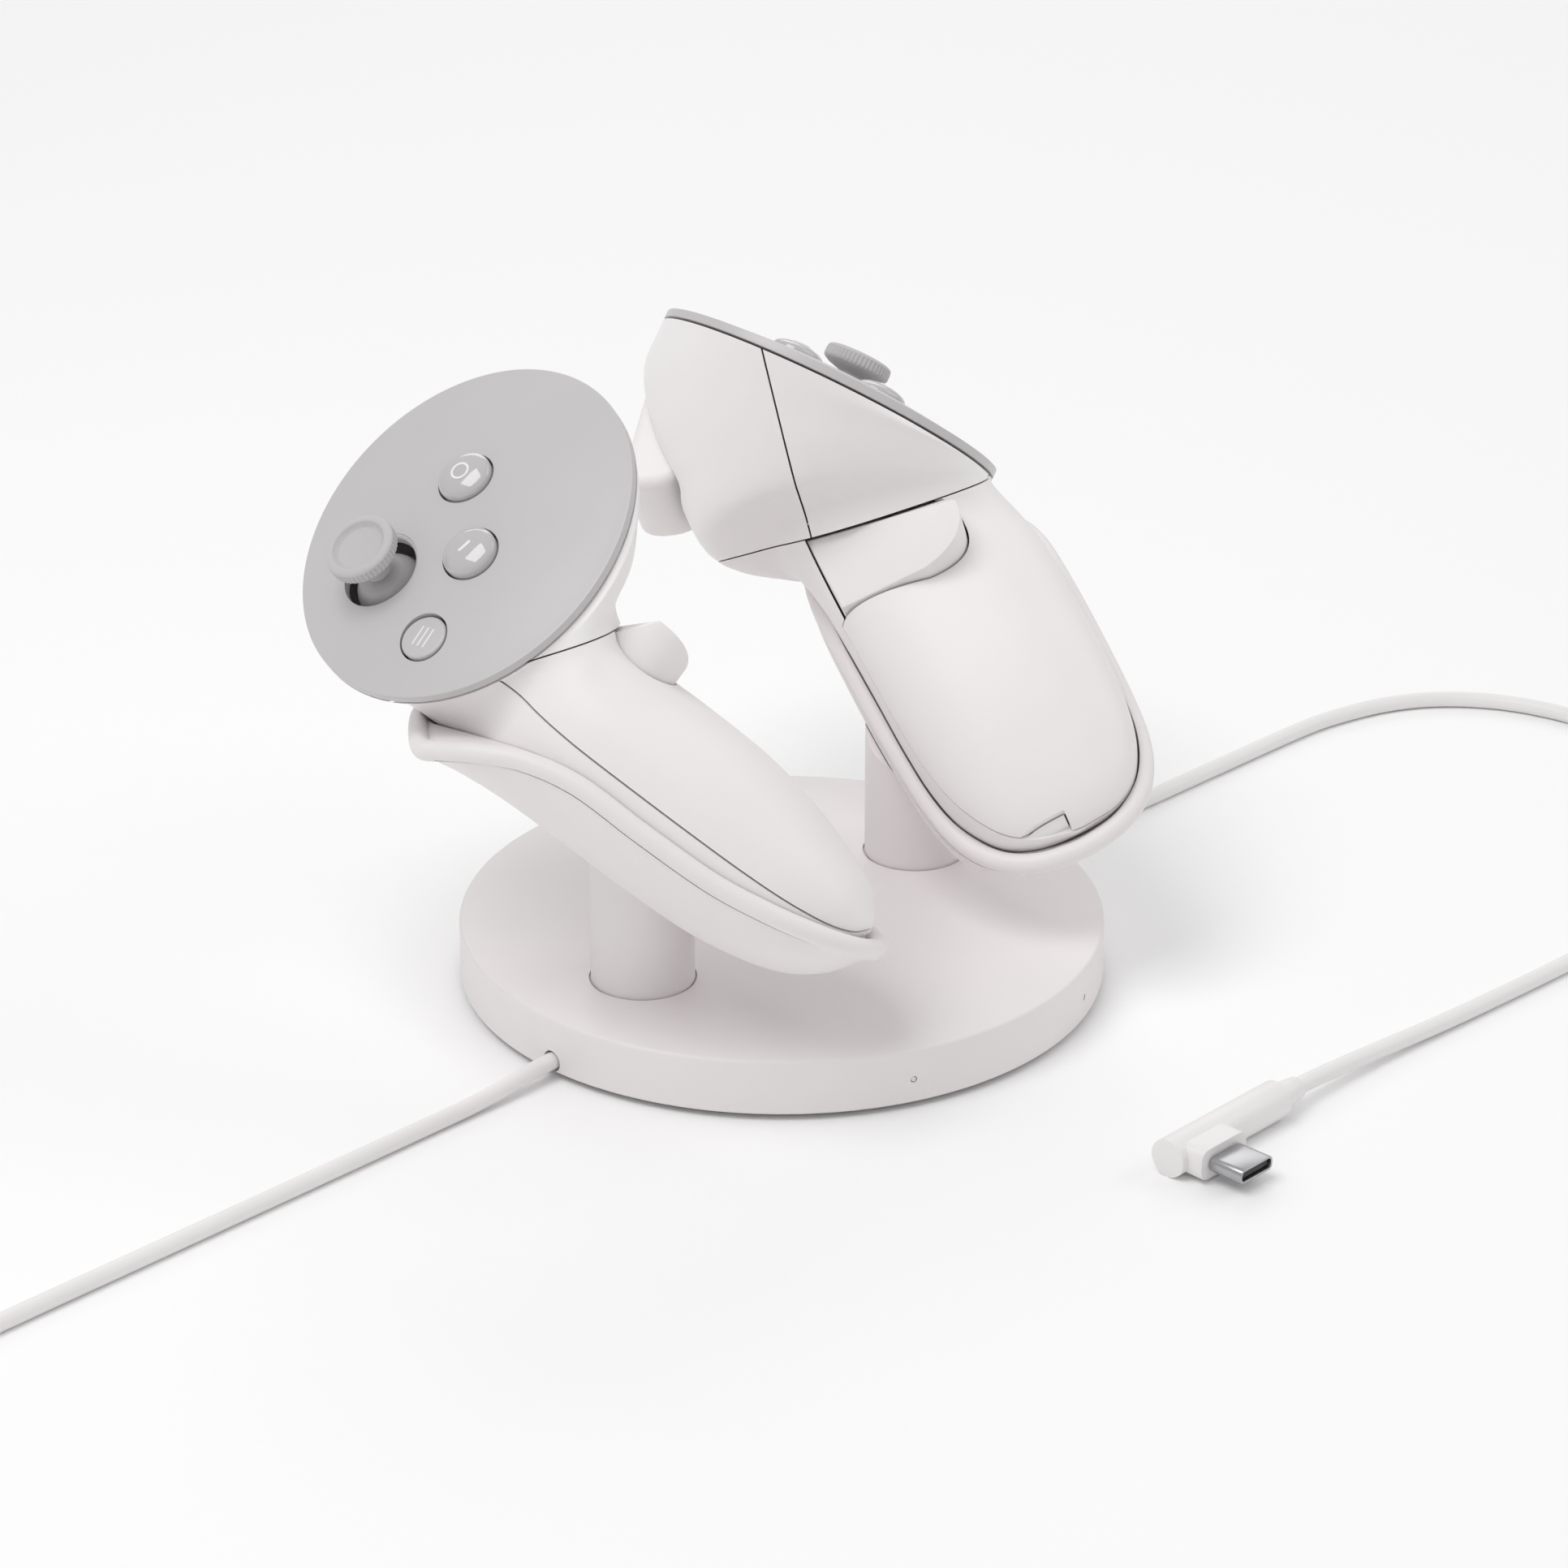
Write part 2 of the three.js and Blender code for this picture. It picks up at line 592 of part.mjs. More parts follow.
// The grip button's outline on the handle's face, [y, z], grown by a clearance.
function gripOutline(grow) {
  const shape = new THREE.Shape();
  shape.moveTo(13.8 + grow, 54 - grow);
  shape.lineTo(13.8 + grow, 76);
  shape.lineTo(-7.6 - grow, 76);
  shape.lineTo(-7.6 - grow, 63);
  shape.quadraticCurveTo(-11.6 - grow, 61.4 + grow, -11.6 - grow, 56.6);
  shape.quadraticCurveTo(-11.6 - grow, 48.7 - grow, -2, 49.4 - grow);
  shape.closePath();
  return shape;
}

// A block under that outline, from low to high in x.
function gripBlock(grow, low, high) {
  const stand = new THREE.Matrix4().makeBasis(
    new THREE.Vector3(0, 1, 0),
    new THREE.Vector3(0, 0, 1),
    new THREE.Vector3(1, 0, 0),
  );
  return solid(new THREE.ExtrudeGeometry(gripOutline(grow), {
    depth: high - low,
    bevelEnabled: false,
    curveSegments: 5,
    steps: 1,
  }).applyMatrix4(stand).translate(low, 0, 0));
}

function gripPin(spread = 0) {
  return rod(GRIP_PIN.radius + spread, GRIP_PIN.low - spread * 20, GRIP_PIN.high + spread * 20, 12)
    .translate(GRIP_PIN.x, GRIP_PIN.y, 0);
}

// The grip button: its face rises from the hinge edge to the free round end.
function gripButton() {
  return gripBlock(0, 7.2, 24)
    .intersect(halfSpace([-1, -0.5, 0], -17.6))
    .intersect(halfSpace([-NECK_CUT.x, -NECK_CUT.y, -1], -NECK_CUT.z + 0.6))
    .subtract(solid(gripPin(0.3)));
}

function battery() {
  const profile = [[0, 0], [6.6, 0], [7, 0.5], [7, 48.4], [6.4, 49], [2.7, 49], [2.7, 50.2], [0, 50.2]];
  return turned(profile, 20).translate(-1.4, HANDLE_MID_Y, 9.9);
}

// The corner under the plate's rear edge, where the neck runs up to the plate as part of the handle.
function rearCorner(grow) {
  return solid(box(10 + 2 * grow, 10 + 2 * grow, 20 + 2 * grow, -4.5, -20.2, 73));
}

// The strip of wall in front of the grip button, which stays on the handle when the cover comes off.
function frontStrip(grow) {
  return halfSpace([0, 1, 0], 14 - grow)
    .intersect(halfSpace([0, 0, 1], 53.6 - grow))
    .intersect(halfSpace([1, 0, 0], 0));
}

// The shell of the whole body, still in one: outer form less inner form, open under the plate.
function controllerPieces() {
  const hollow = bodySolid(0, 0).subtract(bodySolid(SHELL_WALL, 4));
  const neck = [NECK_CUT.x, NECK_CUT.y, 1];
  const half = GAP / 2;
  const headSide = halfSpace(neck, NECK_CUT.z + half);
  const handleSide = halfSpace(neck.map((v) => -v), -NECK_CUT.z + half);
  const seam = [0, 1, HEAD_SEAM.slope];
  const cover = [1, -COVER_CUT.slope, 0];
  const coverAt = -COVER_CUT.slope * COVER_CUT.y0;
  const head = hollow.intersect(headSide).subtract(rearCorner(half));
  const rearOfSeam = (offset) => halfSpace(seam.map((v) => -v), -HEAD_SEAM.y + offset)
    .intersect(halfSpace([1, 0, 0], -4 + offset));
  const handle = hollow.intersect(handleSide).add(hollow.intersect(rearCorner(-half)));
  const window = gripBlock(0.4, 2, 30);
  return [
    ['face_plate', 'plateGrey', faceplate()],
    ['head_front_shell', 'warmWhite',
      head.subtract(rearOfSeam(-half)).subtract(triggerOpening())],
    ['head_rear_shell', 'warmWhite', head.intersect(rearOfSeam(half))],
    ['handle_shell', 'warmWhite',
      handle.intersect(halfSpace(cover.map((v) => -v), -coverAt + half))
        .add(handle.intersect(frontStrip(-half)))
        .subtract(window)],
    ['battery_cover', 'warmWhite',
      handle.intersect(halfSpace(cover, coverAt + half))
        .subtract(frontStrip(half))
        .subtract(window)],
    ['thumbstick_cap', 'softGrey', thumbstickCap()],
    ['thumbstick_ball', 'plateGrey', thumbstickBall()],
    ['thumbstick_gimbal', 'darkPlastic', thumbstickGimbal()],
    ['upper_button', 'clearButton', domedButton(UPPER_BUTTON, 2.3)],
    ['lower_button', 'clearButton', domedButton(LOWER_BUTTON, 2.3)],
    ['menu_button', 'plateGrey', flatButton(MENU_BUTTON)],
    ['trigger', 'warmWhite', trigger()],
    ['trigger_pin', 'steel', crossPin(TRIGGER_PIN, 20.4)],
    ['grip_button', 'warmWhite', gripButton()],
    ['grip_pin', 'steel', gripPin()],
    ['battery_cell', 'batteryGrey', battery()],
    ['main_board', 'boardGreen', mainBoard()],
  ];
}

// ---------------------------------------------------------------- the dock

// A rod that lies along a radius of the base, from one distance to another.
function radialRod(radius, from, to, degrees, z, sides) {
  return rod(radius, from, to, sides)
    .rotateY(Math.PI / 2)
    .rotateZ(rad(degrees))
    .translate(0, 0, z);
}

function baseShell() {
  const wall = BASE_RADIUS - BASE_WALL;
  const edge = 0.4;
  const profile = [
    [wall, SHELL_FOOT],
    [BASE_RADIUS, SHELL_FOOT],
    [BASE_RADIUS, BASE_TOP - edge],
    [BASE_RADIUS - edge, BASE_TOP],
    [0, BASE_TOP],
    [0, BASE_TOP - BASE_LID],
    [wall, BASE_TOP - BASE_LID],
    [wall, SHELL_FOOT],
  ];
  let shell = solid(turned(profile, 56));
  for (const degrees of Object.values(LIGHT_ANGLES)) {
    shell = shell.subtract(solid(radialRod(LIGHT_RADIUS + 0.15, 50, 60, degrees, LIGHT_Z, 12)));
  }
  for (const degrees of [0, 180]) {
    shell = shell.subtract(solid(radialRod(CORD_BORE, 50, 60, degrees, CORD_EXIT_Z, 16)));
  }
  for (const sign of [-1, 1]) {
    const seat = rod(POST_RADIUS + 0.35, BASE_TOP - POST_SEAT, BASE_TOP + 5, 32);
    shell = shell.subtract(solid(seat.translate(sign * POST_X, 0, 0)));
  }
  return shell;
}

// The post under the left cradle, cut off under the bowl.
function leftPost() {
  const frame = frameOf(1);
  const bowl = solid(geometryOf(bowlSolid(-GAP)).applyMatrix4(frame));
  const below = solid(box(60, 120, 120, -POST_CUT - 30, 0, 20).applyMatrix4(frame));
  const column = rod(POST_RADIUS, BASE_TOP - POST_SEAT + GAP, 60, 32).translate(-POST_X, 0, 0);
  return solid(column).intersect(below).subtract(bowl);
}

function dockPieces() {
  addNode(root, 'base_shell', 'dockWhite', baseShell());
  addNode(root, 'foot_pad', 'darkPlastic', rod(FOOT_RADIUS, 0, FOOT_HEIGHT, 60));
  addNode(root, 'base_plate', 'darkPlastic', rod(51, 1.1, 2.3, 48));
  addNode(root, 'ballast_weight', 'steel', rod(46, 2.7, 6.5, 40));
  addNode(root, 'dock_circuit_board', 'boardGreen', box(40, 26, 1.2, 0, 0, 7.5));
  for (const [name, degrees] of Object.entries(LIGHT_ANGLES)) {
    const pipe = radialRod(LIGHT_RADIUS, 53.5, BASE_RADIUS - 0.15, degrees, LIGHT_Z, 12);
    addNode(root, `status_light_${name}`, 'clearButton', pipe);
  }
  for (const [name, degrees] of [['power', 180], ['output', 0]]) {
    addNode(root, `${name}_cord_grommet`, 'darkPlastic', radialRod(2.5, 51.6, GROMMET_FACE, degrees, 3.4, 16));
  }
  const post = geometryOf(leftPost());
  addNode(root, 'left_post', 'dockWhite', post);
  addNode(root, 'right_post', 'dockWhite', post.clone().scale(-1, 1, 1));
}

// ---------------------------------------------------------------- cords

// Power cord: out of the base towards -X, then along the floor to its coil.
const POWER_ROUTE = [
  [-55.05, 0, CORD_EXIT_Z], [-58, 0, CORD_EXIT_Z], [-62, 0, 2.9], [-68, 0.1, 2.2], [-76, 0.3, 1.65],
  [-86, 0.6, 1.5], [-108, 1, 1.5], [-142, 1.7, 1.5], [-175, 2.4, 1.5], [-196.65, 2.9, 1.5],
];
const COIL = { x: -213, y: 19.6, radius: 16.5, width: 9.6, height: 9.6 };

// Output lead: out of the base towards +X, round in one loop and back to the plug.
const OUTPUT_ROUTE = [
  [55.05, 0, CORD_EXIT_Z], [58, 0, CORD_EXIT_Z], [62, -0.3, 2.9], [69, -1.2, 2.1], [78, -2.5, 1.55],
  [93, -3.7, 1.5], [116, -4.4, 1.5], [141, -5.2, 1.5], [152, -6.8, 1.5], [162, -10, 1.5],
  [170, -15, 1.5], [176.5, -22.5, 1.5], [180.8, -32, 1.5], [182.6, -44, 1.5], [180.6, -60, 1.5],
  [172.5, -78, 1.5], [157, -92.5, 1.5], [137, -100.4, 1.5], [115, -102.4, 1.5], [95, -102, 1.5],
  [66, -100.3, 1.6], [45, -98.8, 2.2], [32, -98.4, 3], [25, -98.4, 3.4], [22.9, -98.4, 3.4],
];
const PLUG = { y: -98.4, z: 3.4, radius: 3.4, from: -11.5, to: 17, sleeve: 22.6, boss: -4.4 };

// A block with a rounded-rectangle section, extruded along -y from one y to another.
function roundedBar(width, height, corner, from, to, x, z) {
  const [w, h] = [width / 2, height / 2];
  const shape = new THREE.Shape();
  shape.moveTo(-w + corner, -h);
  shape.lineTo(w - corner, -h);
  shape.quadraticCurveTo(w, -h, w, -h + corner);
  shape.lineTo(w, h - corner);
  shape.quadraticCurveTo(w, h, w - corner, h);
  shape.lineTo(-w + corner, h);
  shape.quadraticCurveTo(-w, h, -w, h - corner);
  shape.lineTo(-w, -h + corner);
  shape.quadraticCurveTo(-w, -h, -w + corner, -h);
  const geometry = new THREE.ExtrudeGeometry(shape, {
    depth: from - to,
    bevelEnabled: false,
    curveSegments: 4,
    steps: 1,
  });
  return geometry.rotateX(Math.PI / 2).translate(x, from, z);
}

function outputPlug() {
  const barrel = rod(PLUG.radius, PLUG.from, PLUG.to, ROUND).rotateY(Math.PI / 2).translate(0, PLUG.y, PLUG.z);
  const boss = roundedBar(11.6, 5.6, 2, PLUG.y, PLUG.y - 6.2, PLUG.boss, PLUG.z);
  return solid(barrel).add(solid(boss));
}

function plugShell() {
  const tip = PLUG.y - 6.2 - GAP;
  const outer = solid(roundedBar(8.3, 2.6, 1.2, tip, tip - 6.6, PLUG.boss, PLUG.z));
  const inner = solid(roundedBar(7.5, 1.8, 0.8, tip - 0.8, tip - 8, PLUG.boss, PLUG.z));
  return outer.subtract(inner);
}

function outputSleeve() {
  return turned([[0, PLUG.to + GAP], [2.6, PLUG.to + GAP], [2, PLUG.sleeve], [0, PLUG.sleeve]], 16)
    .rotateY(Math.PI / 2)
    .translate(0, PLUG.y, PLUG.z);
}

// The tied coil that the rest of the power cord lies in, with the tail that leads to its plug.
function powerCoil() {
  const { radius, width, height } = COIL;
  const [low, high] = [radius - width / 2, radius + width / 2];
  const bevel = 2;
  const ring = turned([
    [low, bevel], [low + bevel, 0], [high - bevel, 0], [high, bevel],
    [high, height - bevel], [high - bevel, height], [low + bevel, height], [low, height - bevel],
    [low, bevel],
  ], 28).translate(COIL.x, COIL.y, 0);
  return ring;
}

function powerPieces() {
  const far = COIL.x - COIL.radius;
  const tailEnd = COIL.y + 24;
  const tail = rod(CORD_RADIUS, 0, 24, CORD_SIDES).rotateX(-Math.PI / 2).translate(far, COIL.y, CORD_RADIUS);
  const lead = rod(CORD_RADIUS, -213, -197, CORD_SIDES).rotateY(Math.PI / 2).translate(0, 2.9, CORD_RADIUS);
  const coil = solid(powerCoil()).add(solid(tail)).add(solid(lead));
  const body = roundedBar(11, 6, 1.2, tailEnd + GAP + 24, tailEnd + GAP, far, 3);
  const shell = roundedBar(9, 4.2, 0.4, tailEnd + 2 * GAP + 36, tailEnd + 2 * GAP + 24, far, 3);
  const tieTop = COIL.height + 1.2;
  const room = COIL.height + GAP;
  const tieOuter = box(4, COIL.width + 2.4, tieTop, COIL.x, COIL.y + COIL.radius, tieTop / 2);
  const tieInner = box(6, COIL.width + 0.8, room + 2, COIL.x, COIL.y + COIL.radius, room / 2 - 1);
  return { coil, body, shell, tie: solid(tieOuter).subtract(solid(tieInner)) };
}

function cords() {
  // Each tube stops short of what it meets, so its ends lie face to face with the neighbours.
  addNode(root, 'power_cord', 'cordWhite', cordTube(POWER_ROUTE, 26));
  addNode(root, 'output_cord', 'cordWhite', cordTube(OUTPUT_ROUTE, 60));
  const { coil, body, shell, tie } = powerPieces();
  addNode(root, 'power_cord_coil', 'cordWhite', coil);
  addNode(root, 'coil_tie', 'cordWhite', tie);
  addNode(root, 'power_plug_body', 'cordWhite', body);
  addNode(root, 'power_plug_shell', 'steel', shell);
  addNode(root, 'output_plug_body', 'cordWhite', outputPlug());
  addNode(root, 'output_plug_shell', 'steel', plugShell());
  addNode(root, 'output_strain_relief', 'cordWhite', outputSleeve());
}

// ---------------------------------------------------------------- the whole object

dockPieces();
cords();
const handed = [...cradlePieces(), ...controllerPieces()].map(([name, finish, shape]) => {
  const geometry = shape.getMesh ? geometryOf(shape) : shape;
  return [name, finish, geometry];
});
for (const [side, sign] of [['left', 1], ['right', -1]]) {
  const group = new THREE.Group();
  group.applyMatrix4(frameOf(sign));
  root.add(group);
  for (const [name, finish, geometry] of handed) {
    addNode(group, `${side}_${name}`, finish, geometry.clone().scale(sign, 1, 1));
  }
}

export default root;
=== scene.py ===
# %% [markdown]
# # A pair of motion controllers on a charging dock
# Two mirror-image controllers rest in tilted cradles on a round base. Each cell models one sub-part or finish around
# the fixed frame of CAD nodes. Forms are worked out in millimetres in the left controller's own frame, then placed.

# %% The frame
import json
import math

import bpy
import numpy as np
from mathutils import Matrix, Vector

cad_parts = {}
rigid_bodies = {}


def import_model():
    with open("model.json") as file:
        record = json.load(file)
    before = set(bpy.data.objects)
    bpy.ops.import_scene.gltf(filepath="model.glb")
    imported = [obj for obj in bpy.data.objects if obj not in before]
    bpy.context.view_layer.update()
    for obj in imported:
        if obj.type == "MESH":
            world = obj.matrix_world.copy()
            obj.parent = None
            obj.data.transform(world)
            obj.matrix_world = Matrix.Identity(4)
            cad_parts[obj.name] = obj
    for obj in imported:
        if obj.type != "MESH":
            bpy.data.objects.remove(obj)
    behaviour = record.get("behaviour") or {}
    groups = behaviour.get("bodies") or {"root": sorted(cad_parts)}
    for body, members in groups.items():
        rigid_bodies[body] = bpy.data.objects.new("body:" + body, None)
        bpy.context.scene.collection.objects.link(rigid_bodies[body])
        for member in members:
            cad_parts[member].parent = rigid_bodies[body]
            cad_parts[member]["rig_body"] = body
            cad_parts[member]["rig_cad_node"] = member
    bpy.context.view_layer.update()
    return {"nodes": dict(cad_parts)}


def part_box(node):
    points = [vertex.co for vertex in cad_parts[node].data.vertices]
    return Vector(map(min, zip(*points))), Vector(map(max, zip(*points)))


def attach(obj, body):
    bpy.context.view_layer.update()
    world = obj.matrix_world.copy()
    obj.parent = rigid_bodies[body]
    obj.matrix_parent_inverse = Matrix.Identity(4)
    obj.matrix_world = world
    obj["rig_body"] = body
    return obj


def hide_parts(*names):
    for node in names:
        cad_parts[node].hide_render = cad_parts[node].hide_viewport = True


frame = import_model()
MM = 0.001
NODES = frame["nodes"]

# %% [markdown]
# ## Camera
# A long lens looks down at the dock from its front left corner. The camera is placed by its heading, its pitch and its
# distance from the dock, so that the frame holds both controllers and most of the output lead's loop.

# %% Camera
HEADING = math.radians(-46.5)
PITCH = 0.437
DISTANCE = 0.9504
AIM_RIGHT = 0.000376
AIM_UP = 0.03255
LENS = 122.76


def aim_camera():
    right = Vector((math.cos(HEADING), math.sin(HEADING), 0))
    forward = Vector((
        -math.sin(HEADING) * math.cos(PITCH),
        math.cos(HEADING) * math.cos(PITCH),
        -math.sin(PITCH),
    ))
    up = right.cross(forward)
    camera = bpy.data.objects.new("camera", bpy.data.cameras.new("camera"))
    bpy.context.scene.collection.objects.link(camera)
    camera.data.lens = LENS
    camera.data.sensor_width = 36
    camera.data.clip_start = 0.01
    camera.matrix_world = Matrix((right, up, -forward)).transposed().to_4x4()
    camera.location = right * AIM_RIGHT + up * AIM_UP - forward * DISTANCE
    bpy.context.scene.camera = camera


aim_camera()

# %% [markdown]
# ## Finishes
# Every finish is a small node tree on one Principled shader. Colours are sRGB hex values. Patterns read Object
# coordinates, which are metres here, so a pattern's scale is one over its real size.

# %% Node helpers


def linear(code):
    """An sRGB hex colour as linear RGBA."""
    channels = [int(code[i:i + 2], 16) / 255 for i in (1, 3, 5)]
    return [c / 12.92 if c <= 0.04045 else ((c + 0.055) / 1.055) ** 2.4 for c in channels] + [1]


def add(tree, kind, settings=None, links=None):
    """Adds a node, sets its properties and inputs, and links other nodes' outputs to its inputs."""
    node = tree.nodes.new(kind)
    for name, value in (settings or {}).items():
        if name in node.inputs:
            node.inputs[name].default_value = value
        else:
            setattr(node, name, value)
    for name, output in (links or {}).items():
        tree.links.new(output, node.inputs[name])
    return node


def moulded(name, colour, deep, roughness, spread=0.06, grain_mm=0.35, grain=0.05, **more):
    """A moulded plastic or rubber: spark-eroded grain in the surface, and a slow drift in colour and gloss."""
    material = bpy.data.materials.new(name)
    material.use_nodes = True
    tree = material.node_tree
    tree.nodes.clear()
    place = add(tree, "ShaderNodeTexCoord").outputs["Object"]
    drift = add(tree, "ShaderNodeTexNoise", {"Scale": 1 / 0.03, "Detail": 3.0, "Roughness": 0.5}, {"Vector": place})
    colours = add(tree, "ShaderNodeValToRGB", None, {"Fac": drift.outputs["Fac"]})
    colours.color_ramp.elements[0].position = 0.3
    colours.color_ramp.elements[0].color = linear(deep)
    colours.color_ramp.elements[1].position = 0.7
    colours.color_ramp.elements[1].color = linear(colour)
    fine = add(tree, "ShaderNodeTexNoise", {"Scale": 1 / (grain_mm * MM), "Detail": 2.0}, {"Vector": place})
    gloss = add(tree, "ShaderNodeMapRange", {
        "To Min": roughness - spread, "To Max": roughness + spread}, {"Value": fine.outputs["Fac"]})
    bump = add(tree, "ShaderNodeBump", {"Strength": grain, "Distance": 0.02 * MM}, {"Height": fine.outputs["Fac"]})
    shader = add(tree, "ShaderNodeBsdfPrincipled", more, {
        "Base Color": colours.outputs["Color"],
        "Roughness": gloss.outputs["Result"],
        "Normal": bump.outputs["Normal"],
    })
    add(tree, "ShaderNodeOutputMaterial", None, {"Surface": shader.outputs["BSDF"]})
    return material


# %% [markdown]
# ### Moulded plastics and rubbers
# The shells are ABS and polycarbonate, moulded in tools with a very fine spark-eroded grain, which gives a matte, soft
# highlight. The keys are clear acrylic domes, so they are smooth and have a polished coat. The stick's cap is a
# thermoplastic elastomer with no gloss at all. A cord's jacket is soft PVC.

# %% Plastics
SHELL = moulded("fine_grain_white_polycarbonate", "#f3efef", "#f0ecec", 0.5, IOR=1.58)
# The head's finish is the shell's white polycarbonate painted a little lighter, which is painted highlight; its gloss
# is also a little higher.
HEAD_PAINTED_LIGHTER = moulded("milky_white_polycarbonate", "#f6f3f3", "#f4f1f1", 0.46, IOR=1.58)
DOCK = moulded("warm_white_moulded_abs", "#efeaea", "#ece7e7", 0.5, IOR=1.54)
PLATE = moulded("light_grey_satin_abs", "#c9c6c7", "#c5c2c3", 0.36, 0.04, 0.25, 0.03, IOR=1.54)
KEY = moulded("domed_grey_acrylic", "#c4c1c2", "#c0bdbe", 0.1, 0.02, 0.5, 0.0, **{
    "IOR": 1.49, "Coat Weight": 1.0, "Coat Roughness": 0.03})
MARK = moulded("pale_printed_ink", "#f4f2f3", "#efedee", 0.4, IOR=1.5)
CAP = moulded("light_grey_elastomer", "#c6c4c5", "#c1bfc0", 0.66, 0.05, 0.3, 0.1, IOR=1.5)
BLACK = moulded("black_moulded_nylon", "#2d2a2a", "#262424", 0.5, IOR=1.53)
CORD = moulded("white_pvc_jacket", "#f0eded", "#ece9e9", 0.42, 0.05, 0.4, 0.04, IOR=1.52)
FOOT = moulded("grey_silicone_foot", "#4a4748", "#434041", 0.7, 0.05, 0.4, 0.1, IOR=1.41)
BOARD = moulded("green_soldermask_laminate", "#1f5a3a", "#1a5034", 0.35, 0.05, 0.6, 0.05, IOR=1.55)
SLEEVE = moulded("grey_printed_film_sleeve", "#6f7276", "#66696d", 0.3, 0.04, 0.4, 0.02, IOR=1.57)
STEEL = moulded("satin_nickel_plated_steel", "#b9b9bb", "#adadb0", 0.3, 0.05, 0.3, 0.04, Metallic=1.0)
COPPER = moulded("enamelled_copper_wire", "#b8743f", "#a56334", 0.35, 0.05, 0.3, 0.15, Metallic=1.0)
LIGHT = moulded("frosted_light_pipe", "#f2ece6", "#e9e2da", 0.3, 0.04, 0.4, 0.02, IOR=1.49)
print("finishes", len(bpy.data.materials))

# %% [markdown]
# ## Mesh helpers
# Operators act on the selection, so each helper first clears it. A piece is made in millimetres in the left
# controller's frame: x out of the battery cover, y towards the trigger, z up the handle.

# %% Mesh helpers


def pick(piece):
    bpy.ops.object.select_all(action="DESELECT")
    bpy.context.view_layer.objects.active = piece
    piece.select_set(True)
    return piece


def edit(piece, *steps):
    """Runs edit-mode steps on everything in the piece."""
    pick(piece)
    bpy.ops.object.mode_set(mode="EDIT")
    bpy.ops.mesh.select_all(action="SELECT")
    for step, settings in steps:
        step(**settings)
    bpy.ops.object.mode_set(mode="OBJECT")
    return piece


def clean(piece):
    """Merges doubled vertices and turns the faces outwards."""
    return edit(
        piece,
        (bpy.ops.mesh.remove_doubles, {"threshold": 0.0005}),
        (bpy.ops.mesh.normals_make_consistent, {"inside": False}),
    )


def modify(piece, kind, **settings):
    """Adds a modifier and applies it."""
    pick(piece)
    modifier = piece.modifiers.new(kind.lower(), kind)
    for name, value in settings.items():
        setattr(modifier, name, value)
    bpy.ops.object.modifier_apply(modifier=modifier.name)
    return piece


def cut(piece, tool, operation="DIFFERENCE"):
    """Cuts, adds or keeps what a tool covers, and removes the tool."""
    modify(piece, "BOOLEAN", object=tool, operation=operation, solver="MANIFOLD")
    bpy.data.objects.remove(tool)
    return piece


def copy(piece):
    twin = piece.copy()
    twin.data = piece.data.copy()
    twin.name = "copy"
    bpy.context.scene.collection.objects.link(twin)
    return twin


def grid(name, points):
    """A grid of vertices rolled into the surface through rows of points."""
    rows, columns = points.shape[:2]
    bpy.ops.object.select_all(action="DESELECT")
    bpy.ops.mesh.primitive_grid_add(x_subdivisions=columns - 1, y_subdivisions=rows - 1, size=1)
    piece = bpy.context.object
    piece.name = name
    piece.data.vertices.foreach_set("co", points.reshape(-1))
    piece.data.update()
    return clean(piece)


def block(low, high):
    """A box between two corners, used as a tool."""
    low, high = np.array(low, float), np.array(high, float)
    bpy.ops.object.select_all(action="DESELECT")
    bpy.ops.mesh.primitive_cube_add(size=1)
    piece = bpy.context.object
    piece.data.transform(Matrix.Translation((low + high) / 2) @ Matrix.Diagonal((*(high - low), 1)))
    return piece


def side_of(normal, offset):
    """A big box that fills the side where normal . point is over offset."""
    normal = Vector(normal)
    reach = 300
    piece = block((-reach, -reach, 0), (reach, reach, 2 * reach))
    turn = normal.to_track_quat("Z", "Y").to_matrix().to_4x4()
    start = normal * (offset / normal.length_squared)
    piece.data.transform(Matrix.Translation(start) @ turn)
    return piece


def through(points, steps, closed=False):
    """Points on a smooth line (Catmull-Rom) through the given rows of points, steps to each stretch."""
    points = np.array(points, float)
    if closed:
        padded = np.concatenate([points[-1:], points, points[:2]])
    else:
        padded = np.concatenate([2 * points[:1] - points[1:2], points, 2 * points[-1:] - points[-2:-1]])
    t = (np.arange(steps) / steps).reshape((-1,) + (1,) * (points.ndim - 1))
    out = []
    for i in range(len(padded) - 3):
        a, b, c, d = padded[i:i + 4]
        squared = 2 * a - 5 * b + 4 * c - d
        cubed = 3 * b - a - 3 * c + d
        out.append(0.5 * (2 * b + (c - a) * t + squared * t ** 2 + cubed * t ** 3))
    line = np.concatenate(out)
    return line if closed else np.concatenate([line, points[-1:]])


def turned(name, profile, steps=96, wave=None):
    """A profile of (radius, height) spun about the z axis. wave gives a change in radius by angle."""
    profile = np.array(profile, float)
    angles = np.linspace(0, 2 * math.pi, steps + 1)
    rows = []
    for radius, height in profile:
        ripple = wave(angles, height) if wave else 0
        reach = radius + np.where(radius > 0.01, ripple, 0)
        rows.append(np.stack([reach * np.cos(angles), reach * np.sin(angles), np.full_like(angles, height)], 1))
    rows = np.array(rows)
    rows[:, -1] = rows[:, 0]
    return grid(name, rows)


